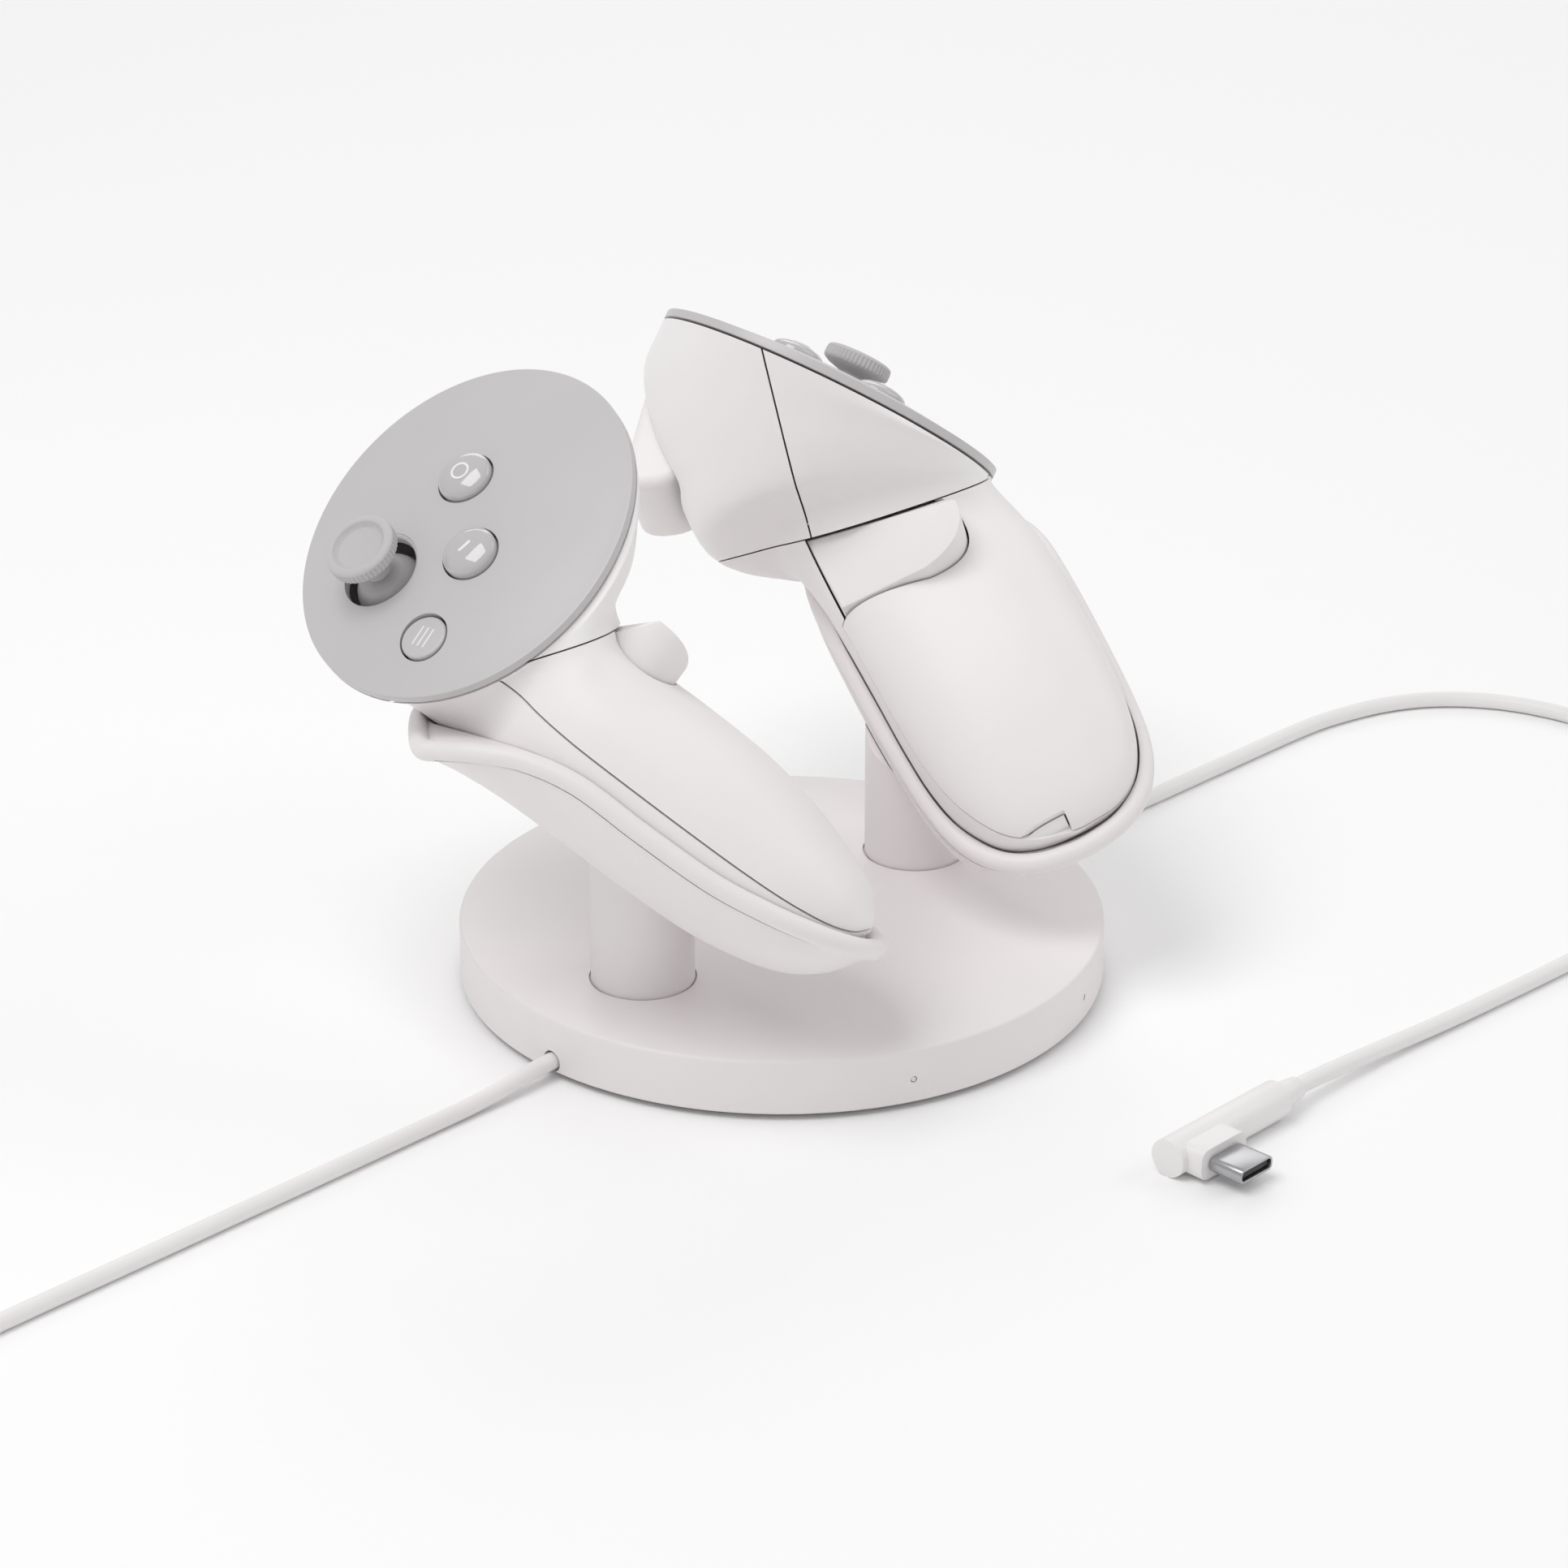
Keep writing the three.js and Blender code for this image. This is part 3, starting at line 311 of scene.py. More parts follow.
def rounded(points, radius, steps=4):
    """A profile with its inner corners rounded off."""
    points = [np.array(p, float) for p in points]
    out = [points[0]]
    for before, here, after in zip(points, points[1:], points[2:]):
        first, last = before - here, after - here
        reach = min(radius, np.linalg.norm(first) * 0.45, np.linalg.norm(last) * 0.45)
        start = here + first / max(np.linalg.norm(first), 1e-9) * reach
        end = here + last / max(np.linalg.norm(last), 1e-9) * reach
        for k in range(steps + 1):
            t = k / steps
            out.append((1 - t) ** 2 * start + 2 * t * (1 - t) * here + t ** 2 * end)
    return out + [points[-1]]


def smooth(piece, degrees=35):
    pick(piece)
    bpy.ops.object.shade_smooth_by_angle(angle=math.radians(degrees))
    return piece


# %% [markdown]
# ### Placing a piece on both sides
# The handle's lower end, its neck and the cradle's opening direction fix the left controller's frame in the dock. The
# right one is its mirror image, so its copy is mirrored and its faces are turned back out.

# %% Placing
HANDLE_END = Vector((-24.5, -40.9, 30.1))
NECK = Vector((-44.7, 17, 65))
OPENING = Vector((0.48, -0.097, 0.872))


def controller_frame():
    up = (NECK - HANDLE_END).normalized()
    out = (OPENING - up * OPENING.dot(up)).normalized()
    front = up.cross(out)
    turn = Matrix((out, front, up)).transposed().to_4x4()
    return Matrix.Scale(MM, 4) @ Matrix.Translation(HANDLE_END) @ turn


LEFT = controller_frame()
MIRROR = Matrix.Diagonal((-1, 1, 1, 1))


def finish_piece(piece, name, body, finish, nodes=(), degrees=35):
    """Names, shades and paints a placed piece, and ties it to its body and CAD nodes."""
    piece.name = name
    piece.data.name = name
    piece.data.materials.clear()
    piece.data.materials.append(finish)
    smooth(piece, degrees)
    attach(piece, body)
    if nodes:
        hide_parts(*nodes)
    return piece


def both_sides(piece, name, body, finish, nodes=(), degrees=35):
    """Places one piece on the left controller and its mirror image on the right one."""
    twin = copy(piece)
    piece.data.transform(LEFT)
    twin.data.transform(MIRROR @ LEFT)
    twin.data.flip_normals()
    for side, part in (("left", piece), ("right", twin)):
        on = body if body == "dock" else f"{side}_{body}"
        finish_piece(part, f"{side}_{name}", on, finish, [f"{side}_{n}" for n in nodes], degrees)
    print(name, len(piece.data.polygons), "faces")


# %% [markdown]
# ## Cords
# Both cords are 3 mm PVC leads. Each is one curve with a round bevel. The power cord runs off across the desk and its
# spare length is wound into a neat coil, seven turns deep. The output lead makes one open loop back to its plug.

# %% Cord routes
CORD_DIAMETER = 3.0
POWER_ROUTE = [
    (-55.05, 0, 3.1), (-58, 0, 3.1), (-62, 0, 2.9), (-68, 0.1, 2.2), (-76, 0.3, 1.65),
    (-86, 0.6, 1.5), (-108, 1, 1.5), (-142, 1.7, 1.5), (-175, 2.4, 1.5), (-196.65, 2.4, 1.5), (-205, 1.2, 1.5),
]
OUTPUT_ROUTE = [
    (55.05, 0, 3.1), (58, 0, 3.1), (62, -0.3, 2.9), (69, -1.2, 2.1), (78, -2.5, 1.55),
    (93, -3.7, 1.5), (116, -4.4, 1.5), (141, -5.2, 1.5), (152, -6.8, 1.5), (162, -10, 1.5),
    (170, -15, 1.5), (176.5, -22.5, 1.5), (180.8, -32, 1.5), (182.6, -44, 1.5), (180.6, -60, 1.5),
    (172.5, -78, 1.5), (157, -92.5, 1.5), (137, -100.4, 1.5), (115, -102.4, 1.5), (95, -102, 1.5),
    (66, -100.3, 1.6), (45, -98.8, 2.2), (32, -98.4, 3), (25, -98.4, 3.4), (22.9, -98.4, 3.4),
]
COIL_CENTRE = (-213, 19.6)
COIL_OUTER = 19.6
COIL_TOP = 7.5
# radius and height of each turn
COIL_TURNS = [
    (COIL_OUTER, 1.5), (16.6, 1.5), (13.6, 1.5), (13.6, 4.5), (16.6, 4.5), (COIL_OUTER, 4.5), (COIL_OUTER, COIL_TOP),
]
TAIL = [(-232.6, 19.6, 7.4), (-232.5, 25, 6.8), (-231.4, 31, 5.2), (-230.2, 37, 3.7), (-229.5, 43.4, 3)]


def coil_points():
    """Seven turns, each at its own radius and height, eased into the next over its last quarter."""
    points = []
    for turn, (radius, height) in enumerate(COIL_TURNS):
        after = COIL_TURNS[min(turn + 1, len(COIL_TURNS) - 1)]
        for k in range(24):
            share = k / 24
            ease = max(0, (share - 0.7) / 0.3)
            ease = ease * ease * (3 - 2 * ease)
            r = radius + (after[0] - radius) * ease
            z = height + (after[1] - height) * ease
            angle = -math.pi / 2 - 2 * math.pi * share
            points.append((COIL_CENTRE[0] + r * math.cos(angle), COIL_CENTRE[1] + r * math.sin(angle), z))
    return points


def cord_line(points, name, steps):
    """A round cord on a smooth line through the points, and its length in metres."""
    line = through(points, steps) * MM
    curve = bpy.data.curves.new(name, "CURVE")
    curve.dimensions = "3D"
    spline = curve.splines.new("POLY")
    spline.points.add(len(line) - 1)
    spline.points.foreach_set("co", np.concatenate([line, np.ones((len(line), 1))], 1).reshape(-1))
    curve.bevel_depth = CORD_DIAMETER / 2 * MM
    curve.bevel_resolution = 5
    curve.use_fill_caps = True
    piece = bpy.data.objects.new(name, curve)
    bpy.context.scene.collection.objects.link(piece)
    curve.materials.append(CORD)
    length = float(np.linalg.norm(np.diff(line, axis=0), axis=1).sum())
    print(name, round(length, 3), "m")
    return piece, length


# %% Cords
power_points = POWER_ROUTE + list(coil_points())
power_points += [
    (COIL_CENTRE[0] + COIL_OUTER * math.cos(a), COIL_CENTRE[1] + COIL_OUTER * math.sin(a), COIL_TOP)
    for a in np.linspace(-math.pi / 2, -math.pi, 7)[:-1]
]
power_points += TAIL
power_cord, power_length = cord_line(power_points, "power_lead", 4)
output_cord, output_length = cord_line(OUTPUT_ROUTE, "output_lead", 8)
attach(power_cord, "dock")
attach(output_cord, "dock")
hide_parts("power_cord", "power_cord_coil")
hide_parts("output_cord")

# %% [markdown]
# ## Cord fittings
# The plug bodies, sleeves and tie are moulded parts with softened edges. Each starts as a merged copy of its
# CAD node and gets a bevel, because the CAD form already has the right sections.

# %% Cord fittings


def softened(node, name, finish, bevel):
    """A merged copy of a CAD node with its sharp edges rounded."""
    piece = copy(NODES[node])
    piece.parent = None
    piece.matrix_world = Matrix.Identity(4)
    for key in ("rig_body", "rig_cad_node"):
        if key in piece:
            del piece[key]
    edit(
        piece,
        (bpy.ops.mesh.remove_doubles, {"threshold": 0.00001}),
        (bpy.ops.mesh.dissolve_limited, {"angle_limit": math.radians(1)}),
    )
    modify(piece, "BEVEL", width=bevel * MM, segments=3, limit_method="ANGLE",
           angle_limit=math.radians(30), use_clamp_overlap=True)
    return finish_piece(piece, name, "dock", finish, [node], 40)


plug_pieces = [
    softened("power_plug_body", "power_plug_grip", CORD, 0.6),
    softened("power_plug_shell", "power_plug_metal", STEEL, 0.2),
    softened("coil_tie", "coil_strap", CORD, 0.3),
]
output_pieces = [
    softened("output_plug_body", "output_plug_grip", CORD, 0.5),
    softened("output_plug_shell", "output_plug_metal", STEEL, 0.15),
    softened("output_strain_relief", "output_sleeve", CORD, 0.25),
]

# %% [markdown]
# ### The plug's tongue
# Inside the metal shell is a black insert with bright contact strips. It is a thin block with its edges bevelled, and
# three raised strips on it.

# %% Plug insert
shell_low, shell_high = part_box("output_plug_shell")
shell_mid = (shell_low + shell_high) / 2


def plug_insert():
    size = Vector((7.1, 5.6, 1.3)) * MM
    middle = Vector((shell_mid.x, shell_high.y - size.y / 2 - 0.5 * MM, shell_mid.z))
    insert = block(middle - size / 2, middle + size / 2)
    modify(insert, "BEVEL", width=0.25 * MM, segments=3)
    finish_piece(insert, "output_plug_insert", "dock", BLACK)
    for k in (-1, 0, 1):
        low = Vector((middle.x + k * 2 * MM - 0.35 * MM, shell_low.y + 0.9 * MM, shell_mid.z + 0.6 * MM))
        strip = block(low, low + Vector((0.7, 3.5, 0.12)) * MM)
        modify(strip, "BEVEL", width=0.04 * MM, segments=2)
        finish_piece(strip, f"output_plug_contact_{k + 2}", "dock", STEEL)


plug_insert()

# %% [markdown]
# ## The dock's base
# The base is a turned disc with a flat top and a tight rounded edge. Its foot is set in, which leaves a dark shadow
# line at the floor. Two cord holes and two pin-size light holes are bored through its side wall.

# %% Base
GAP = 0.35
BASE_RADIUS = 57
BASE_TOP = 11.2
BASE_WALL = 2
BASE_LID = 2.2
SHELL_FOOT = 1.05
POST_X = 34.8
POST_RADIUS = 9
POST_SEAT = 0.6
LIGHT_ANGLES = (-113.5, -69.5)
LIGHT_Z = 5.5
LIGHT_BORE = 0.6
CORD_BORE = 1.95
CORD_EXIT_Z = 3.1


def side_rod(radius, degrees, z):
    """A rod through the base's side wall, used as a tool."""
    rod = turned("rod", [(0, 50), (radius, 50), (radius, 60), (0, 60)], 32)
    rod.data.transform(
        Matrix.Translation((0, 0, z))
        @ Matrix.Rotation(math.radians(degrees), 4, "Z")
        @ Matrix.Rotation(math.pi / 2, 4, "Y")
    )
    return rod


def model_base():
    wall = BASE_RADIUS - BASE_WALL
    rim = rounded([
        (wall, SHELL_FOOT), (BASE_RADIUS, SHELL_FOOT), (BASE_RADIUS, BASE_TOP), (BASE_RADIUS - 8, BASE_TOP)], 0.7, 6)
    profile = rim + [(0, BASE_TOP), (0, BASE_TOP - BASE_LID), (wall, BASE_TOP - BASE_LID), (wall, SHELL_FOOT)]
    base = turned("base", profile, 192)
    for degrees in LIGHT_ANGLES:
        cut(base, side_rod(LIGHT_BORE, degrees, LIGHT_Z))
    for degrees in (0, 180):
        cut(base, side_rod(CORD_BORE, degrees, CORD_EXIT_Z))
    for sign in (-1, 1):
        seat = turned("seat", [(0, BASE_TOP - POST_SEAT), (POST_RADIUS + GAP, BASE_TOP - POST_SEAT),
                               (POST_RADIUS + GAP, BASE_TOP + 5), (0, BASE_TOP + 5)], 96)
        seat.data.transform(Matrix.Translation((sign * POST_X, 0, 0)))
        cut(base, seat)
    base.data.transform(Matrix.Scale(MM, 4))
    finish_piece(base, "dock_base", "dock", DOCK, ["base_shell"])


model_base()

# %% [markdown]
# ## The controller's skin
# The handle, neck and head are one flowing form. It is a loft: sections across the body, each a squared ellipse
# between a rear and a front point, with a smooth line run through matching points of all sections. The last section is
# the oval edge of the face plate.

# %% Skin
PLATE_CENTRE = np.array((13.9, -1.1, 92.4))
PLATE_TILT = math.radians(54.8)
PLATE_ROLL = math.radians(17.4)
PLATE_SEMI = (33.6, 30.6)
PLATE_LONG_ANGLE = math.radians(35.8)
# rear (y, z), front (y, z), x, depth to the cover's side, depth to the cradle's side, roll, squareness
BODY = [
    (-7.5, -1.6, -2, -1.6, 1.8, 1.4, 1.4, 0, 0.8),
    (-12.5, -0.6, 3, -0.6, 1.6, 3.4, 3.4, 0, 0.8),
    (-16.8, 2, 7.4, 2, 1.2, 6, 6.4, 0, 0.8),
    (-19.8, 6, 10.4, 6, 0.8, 8.3, 9.2, 0, 0.8),
    (-22.2, 12, 13, 12, 0.5, 10.6, 11.6, 0, 0.8),
    (-23.6, 20, 14.5, 20, 0.2, 13, 12.3, 0, 0.8),
    (-24.2, 30, 15.1, 30, 0, 14.8, 12.6, 0, 0.8),
    (-24.4, 42, 15.3, 42, 0, 15.2, 12.6, 0, 0.8),
    (-24.2, 52, 15.6, 54, 0, 15.2, 12.6, 0, 0.8),
    (-23.4, 57.5, 16.3, 65, 0.4, 16.2, 14.5, 2, 0.84),
    (-22.5, 60.8, 18.8, 73.5, 1.4, 18.6, 16.6, 4, 0.88),
    (-21.8, 62.7, 25, 77.5, 2.8, 21, 18.6, 6, 0.92),
    (-21.2, 63.9, 30.3, 81.5, 4.6, 23.2, 20.4, 8, 0.95),
    (-20.7, 64.8, 30.4, 92, 7.2, 26.2, 23, 11, 1),
    (-20.3, 65.5, 28.8, 104, 9.8, 28.6, 26, 13.5, 1),
    (-19.9, 66, 25.2, 114, 12.2, 30.4, 29, 15.8, 1),
]
SIDES = 96


def section_axes(tilt, roll):
    along = np.array((0, math.cos(tilt), math.sin(tilt)))
    side = np.array((0, math.sin(tilt), -math.cos(tilt)))
    across = np.array((math.cos(roll), 0, 0)) + side * math.sin(roll)
    normal = np.array((math.sin(roll), 0, 0)) - side * math.cos(roll)
    return along, across, normal


PLATE_ALONG, PLATE_ACROSS, PLATE_NORMAL = section_axes(PLATE_TILT, PLATE_ROLL)


def plate_reach(angle):
    """The plate's half width in the direction of an angle."""
    turn = angle - PLATE_LONG_ANGLE
    return 1 / np.hypot(np.cos(turn) / PLATE_SEMI[0], np.sin(turn) / PLATE_SEMI[1])


def fuller(value, power):
    """Squares off an ellipse where power is under 1."""
    return np.sign(value) * np.abs(value) ** power


def body_ring(station, inset, angles):
    ry, rz, fy, fz, x, plus, minus, roll, full = station
    along, across, _ = section_axes(math.atan2(fz - rz, fy - ry), math.radians(roll))
    half = max(math.hypot(fy - ry, fz - rz) / 2 - inset, 0.4)
    depth = np.where(np.sin(angles) > 0, max(plus - inset, 0.3), max(minus - inset, 0.3))
    middle = np.array((x, (ry + fy) / 2, (rz + fz) / 2))
    return (middle + np.outer(half * fuller(np.cos(angles), full), along)
            + np.outer(depth * fuller(np.sin(angles), full), across))


def plate_ring(inset, lift, angles):
    size = plate_reach(math.pi / 2 - angles) - inset
    return (PLATE_CENTRE + lift * PLATE_NORMAL + np.outer(size * np.cos(angles), PLATE_ALONG)
            + np.outer(size * np.sin(angles), PLATE_ACROSS))


def body_skin(inset=0.0, lift=0.0):
    """The whole body as a closed form, its skin moved in by inset, its top raised by lift."""
    angles = np.linspace(0, 2 * math.pi, SIDES + 1)
    rings = [body_ring(station, inset, angles) for station in BODY]
    rings[0][:, 2] += inset
    rings.append(plate_ring(inset, 0, angles))
    tip = np.tile(rings[0].mean(0) - (0, 0, 0.5), (SIDES + 1, 1))
    rows = through(np.array([tip] + rings), 5)
    rows = np.concatenate([rows, plate_ring(inset, lift, angles)[None]] if lift else [rows])
    centre = np.tile(PLATE_CENTRE + lift * PLATE_NORMAL, (1, SIDES + 1, 1))
    rows = np.concatenate([rows, centre])
    rows[:, -1] = rows[:, 0]
    return grid("skin", rows)


# %% [markdown]
# ## Shells
# The body is hollowed to a 1.8 mm wall and parted where the real shells part: a neck line between head and handle, a
# seam between the head's halves, and a long line between handle shell and battery cover. Each piece keeps a 0.35 mm
# shut line to the next. Openings for the trigger and the grip key are cut with grown copies of those keys.

# %% Trigger form
KEY_ROOM = 0.5
TRIGGER_X = 6
TRIGGER_HALF_WIDTH = 10
TRIGGER_PIN = (19, 108.6)
TRIGGER_TRAVEL = math.radians(12)
TRIGGER_OUTLINE = [
    (25.6, 112.4), (27.6, 110), (30.2, 106.8), (33.4, 102.6), (36.4, 98.8), (38, 96.4),
    (38.2, 94.8), (37.2, 93.2), (34.6, 91.6), (31, 90.6),
    (26, 91), (20.5, 92.5), (17.2, 97), (15.6, 104), (15.6, 109.6), (17.6, 112.4), (21, 113),
]


def prism(outline, low, high, bevel):
    """An outline in the (y, z) plane drawn out along x, with its two end edges rounded."""
    outline = np.array(outline, float)
    middle = outline.mean(0)
    outward = outline - middle
    outward /= np.linalg.norm(outward, axis=1)[:, None]
    rows = [(middle + 0 * outline, low)]
    for k in range(7):
        turn = k / 6 * math.pi / 2
        rows.append((outline - outward * bevel * (1 - math.sin(turn)), low + bevel * (1 - math.cos(turn))))
    for k in range(6, -1, -1):
        turn = k / 6 * math.pi / 2
        rows.append((outline - outward * bevel * (1 - math.sin(turn)), high - bevel * (1 - math.cos(turn))))
    rows.append((middle + 0 * outline, high))
    points = np.array([np.column_stack([np.full(len(o), x), o[:, 0], o[:, 1]]) for o, x in rows])
    points = np.concatenate([points, points[:, :1]], 1)
    return grid("prism", points)


def trigger_form(grow):
    outline = through(TRIGGER_OUTLINE, 5, closed=True)
    outward = outline - np.array((26, 100))
    outline = outline + outward / np.linalg.norm(outward, axis=1)[:, None] * grow
    half = TRIGGER_HALF_WIDTH + grow
    return prism(outline, TRIGGER_X - half, TRIGGER_X + half, 2.2 + grow)


def trigger_opening():
    """The trigger's place in the head, with room to swing through its whole travel."""
    opening = trigger_form(KEY_ROOM)
    for share in (0.25, 0.5, 0.75, 1):
        swung = trigger_form(KEY_ROOM)
        pin = Matrix.Translation((0, *TRIGGER_PIN))
        swung.data.transform(pin @ Matrix.Rotation(-TRIGGER_TRAVEL * share, 4, "X") @ pin.inverted())
        cut(opening, swung, "UNION")
    return opening


# %% [markdown]
# ### Grip key outline
# Seen on the handle, the key has a straight hinge edge in front and a curved free edge behind. Two smooth curves draw
# its lower and upper free corners. Grown by a little, the same outline cuts the opening that the key lies in.

# %% Grip key form


def arc(start, pull, end, steps):
    """Points on the curve from start to end that leaves and arrives towards pull."""
    t = np.linspace(0, 1, steps)[:, None]
    start, pull, end = np.array(start), np.array(pull), np.array(end)
    return ((1 - t) ** 2 * start + 2 * t * (1 - t) * pull + t ** 2 * end).tolist()


def grip_outline(grow):
    """The key's outline on the handle: straight front edge, open at the neck, round at its free end."""
    g = grow
    straight = [(13.8 + g, 76), (13.8 + g, 65), (13.8 + g, 54 - g)]
    lower = arc((-2, 49.4 - g), (-11.6 - g, 48.7 - g), (-11.6 - g, 56.6), 14)
    upper = arc((-11.6 - g, 56.6), (-11.6 - g, 61.4 + g), (-7.6 - g, 63), 8)
    return np.array(straight + lower + upper[1:] + [(-7.6 - g, 69), (-7.6 - g, 76)])


def grip_block(grow, low, high):
    return prism(grip_outline(grow), low, high, 0.0)


# %% [markdown]
# ### Parting the shells
# Each cut is a plane, given by its normal and its offset. Both neighbours draw back from it by half the shut line.

# %% Shells
SHELL_WALL = 1.8
KEY_GAP = 0.4
NECK_CUT = (0.75, -0.15, 1)
NECK_OFFSET = 76.2
HEAD_SEAM = (0, 1, 0.27)
HEAD_SEAM_OFFSET = 31.5
COVER_CUT = (1, -0.14, 0)
COVER_OFFSET = 0.14 * 23


def opposite(normal):
    return tuple(-v for v in normal)


def rear_corner(grow):
    """The corner behind the neck that belongs to the handle."""
    return block((-9.5 - grow, -25.2 - grow, 63 - grow), (0.5 + grow, -15.2 + grow, 83 + grow))


def hollow_body():
    body = body_skin()
    return cut(body, body_skin(SHELL_WALL, 4))


def split(whole):
    """Parts the hollow body into head and handle."""
    half = GAP / 2
    head = copy(whole)
    cut(head, side_of(NECK_CUT, NECK_OFFSET + half), "INTERSECT")
    cut(head, rear_corner(half))
    corner = copy(whole)
    cut(corner, rear_corner(-half), "INTERSECT")
    handle = whole
    cut(handle, side_of(opposite(NECK_CUT), -NECK_OFFSET + half), "INTERSECT")
    cut(handle, corner, "UNION")
    return head, handle


def rear_of_seam(offset):
    """All that lies behind the seam between the head's two halves."""
    rear = side_of(opposite(HEAD_SEAM), -HEAD_SEAM_OFFSET + offset)
    return cut(rear, side_of((1, 0, 0), -4 + offset), "INTERSECT")


def front_strip(grow):
    """The strip of wall in front of the grip key, which stays on the handle when the cover comes off."""
    return block((0, 14 - grow, 53.6 - grow), (60, 80, 120))


def notch_floor():
    """The shallow recess for a fingertip under the cover's end."""
    floor = body_skin(1.0)
    return cut(floor, block((-2, -3.7, -3), (9, 6.2, 0.5)), "INTERSECT")


def model_shells():
    half = GAP / 2
    head, handle = split(hollow_body())
    head_rear = copy(head)
    cut(head_rear, rear_of_seam(half), "INTERSECT")
    cut(head, rear_of_seam(-half))
    cut(head, trigger_opening())
    # Both head halves take the shell's white painted a little lighter, which is painted highlight.
    both_sides(head, "head_front", "controller", HEAD_PAINTED_LIGHTER, ["head_front_shell"], 28)
    both_sides(head_rear, "head_rear", "controller", HEAD_PAINTED_LIGHTER, ["head_rear_shell"], 28)
    cover = copy(handle)
    strip = copy(handle)
    cut(strip, front_strip(-half), "INTERSECT")
    cut(handle, side_of(opposite(COVER_CUT), -COVER_OFFSET + half), "INTERSECT")
    cut(handle, strip, "UNION")
    cut(handle, grip_block(KEY_GAP, 2, 40))
    cut(handle, notch_floor(), "UNION")
    cut(cover, side_of(COVER_CUT, COVER_OFFSET + half), "INTERSECT")
    cut(cover, front_strip(half))
    cut(cover, grip_block(KEY_GAP, 2, 40))
    cut(cover, block((2.6, -4, -4), (9, 6.5, 0.8)))
    both_sides(handle, "handle", "controller", SHELL, ["handle_shell"], 28)
    both_sides(cover, "battery_door", "cover", SHELL, ["battery_cover"], 28)


model_shells()

# %% [markdown]
# ## Trigger and grip key
# Both are finger keys with generous round edges. The trigger swings in the head's nose. The grip key
# lies in the handle's flank: its face rises from the hinge edge to the free end, so it is cut by a sloping plane, and
# the edge that this leaves is rounded with a bevel.

# %% Trigger and grip key


def model_trigger():
    trigger = trigger_form(0)
    both_sides(trigger, "trigger_key", "trigger_lever", SHELL, ["trigger"], 40)


def model_grip():
    key = grip_block(0, 7.2, 40)
    cut(key, side_of((-1, -0.5, 0), -17.6), "INTERSECT")
    cut(key, side_of(opposite(NECK_CUT), -NECK_OFFSET + 0.6), "INTERSECT")
    edit(key, (bpy.ops.mesh.remove_doubles, {"threshold": 0.01}),
         (bpy.ops.mesh.dissolve_limited, {"angle_limit": math.radians(1)}))
    modify(key, "BEVEL", width=1.0, segments=5, limit_method="ANGLE", angle_limit=math.radians(50))
    both_sides(key, "grip_key", "grip_lever", SHELL, ["grip_button"], 50)


model_trigger()
model_grip()

# %% [markdown]
# ## Face plate and its controls
# The plate is a shallow oval dome, turned as a circle and stretched to its two half lengths. Four round openings are
# bored through it. Buttons are domes on short stems; the stick is a dished cap with a knurled edge on a ball.

# %% Face plate
PLATE_EDGE = 1.9
PLATE_DOME = 3
PLATE_THICKNESS = 1.8
STICK = (-15.4, 4.6)
KEYS = {"upper": ((6.1, 6.7), 4.85), "lower": ((-2.6, -7.6), 4.85), "menu": ((-18, -13.7), 4.15)}
STICK_WELL = 6.9

ON_PLATE = Matrix.Translation(PLATE_CENTRE) @ Matrix(
    (PLATE_ACROSS, PLATE_ALONG, PLATE_NORMAL)).transposed().to_4x4()


def on_plate(piece, place=(0, 0)):
    piece.data.transform(ON_PLATE @ Matrix.Translation((*place, 0)))
    return piece


def dome_height(x, y):
    """The height of the plate's face at a place on it."""
    share = math.hypot(x, y) / plate_reach(math.atan2(y, x))
    return PLATE_EDGE + PLATE_DOME * (1 - share * share)


def bore(place, radius):
    tool = turned("bore", [(0, -2), (radius, -2), (radius, 9), (0, 9)], 64)
    tool.data.transform(Matrix.Translation((*place, 0)))
    return tool


def flare(place, radius, height):
    """A tool that rounds the mouth of a bore: a cone with a curved flank."""
    profile = [(0, height - 0.7)]
    for k in range(7):
        turn = k / 6 * math.pi / 2
        profile.append((radius + 0.7 * (1 - math.cos(turn)), height - 0.7 + 0.7 * math.sin(turn)))
    profile += [(radius + 0.7, height + 4), (0, height + 4)]
    tool = turned("flare", profile, 64)
    tool.data.transform(Matrix.Translation((*place, 0)))
    return tool


def model_plate():
    top = [(r, PLATE_EDGE + PLATE_DOME * (1 - r * r)) for r in np.linspace(0, 0.955, 18)]
    edge = rounded([top[-1], (1, PLATE_EDGE + 0.1), (1, GAP + 0.1), (0.93, GAP)], 0.06, 8)
    under = [(r, PLATE_EDGE - PLATE_THICKNESS + PLATE_DOME * (1 - r * r)) for r in (0.88, 0.75, 0.6, 0.4, 0)]
    plate = turned("plate", top[:-1] + edge + under, 160)
    plate.data.transform(
        Matrix.Rotation(PLATE_LONG_ANGLE, 4, "Z") @ Matrix.Diagonal((PLATE_SEMI[0], PLATE_SEMI[1], 1, 1)))
    clean(plate)
    cut(plate, bore(STICK, STICK_WELL))
    cut(plate, flare(STICK, STICK_WELL, dome_height(*STICK) + 0.25))
    for place, radius in KEYS.values():
        cut(plate, bore(place, radius + GAP))
    on_plate(plate)
    both_sides(plate, "oval_plate", "controller", PLATE, ["face_plate"], 30)


model_plate()

# %% [markdown]
# ### Keys
# The two round keys are polished domes that stand over the plate, with a plain ring and a plain bar as their marks.
# The menu key is a nearly flat disc with three raised lines.

# %% Keys
DOME_RISE = 2.3


def dome_profile(radius, face, rise):
    profile = [(0, -3), (radius, -3), (radius, face + rise * 0.2)]
    for angle in np.linspace(12, 90, 14):
        turn = math.radians(angle)
        profile.append((radius * math.cos(turn), face + rise * (0.2 + 0.8 * math.sin(turn))))
    return profile


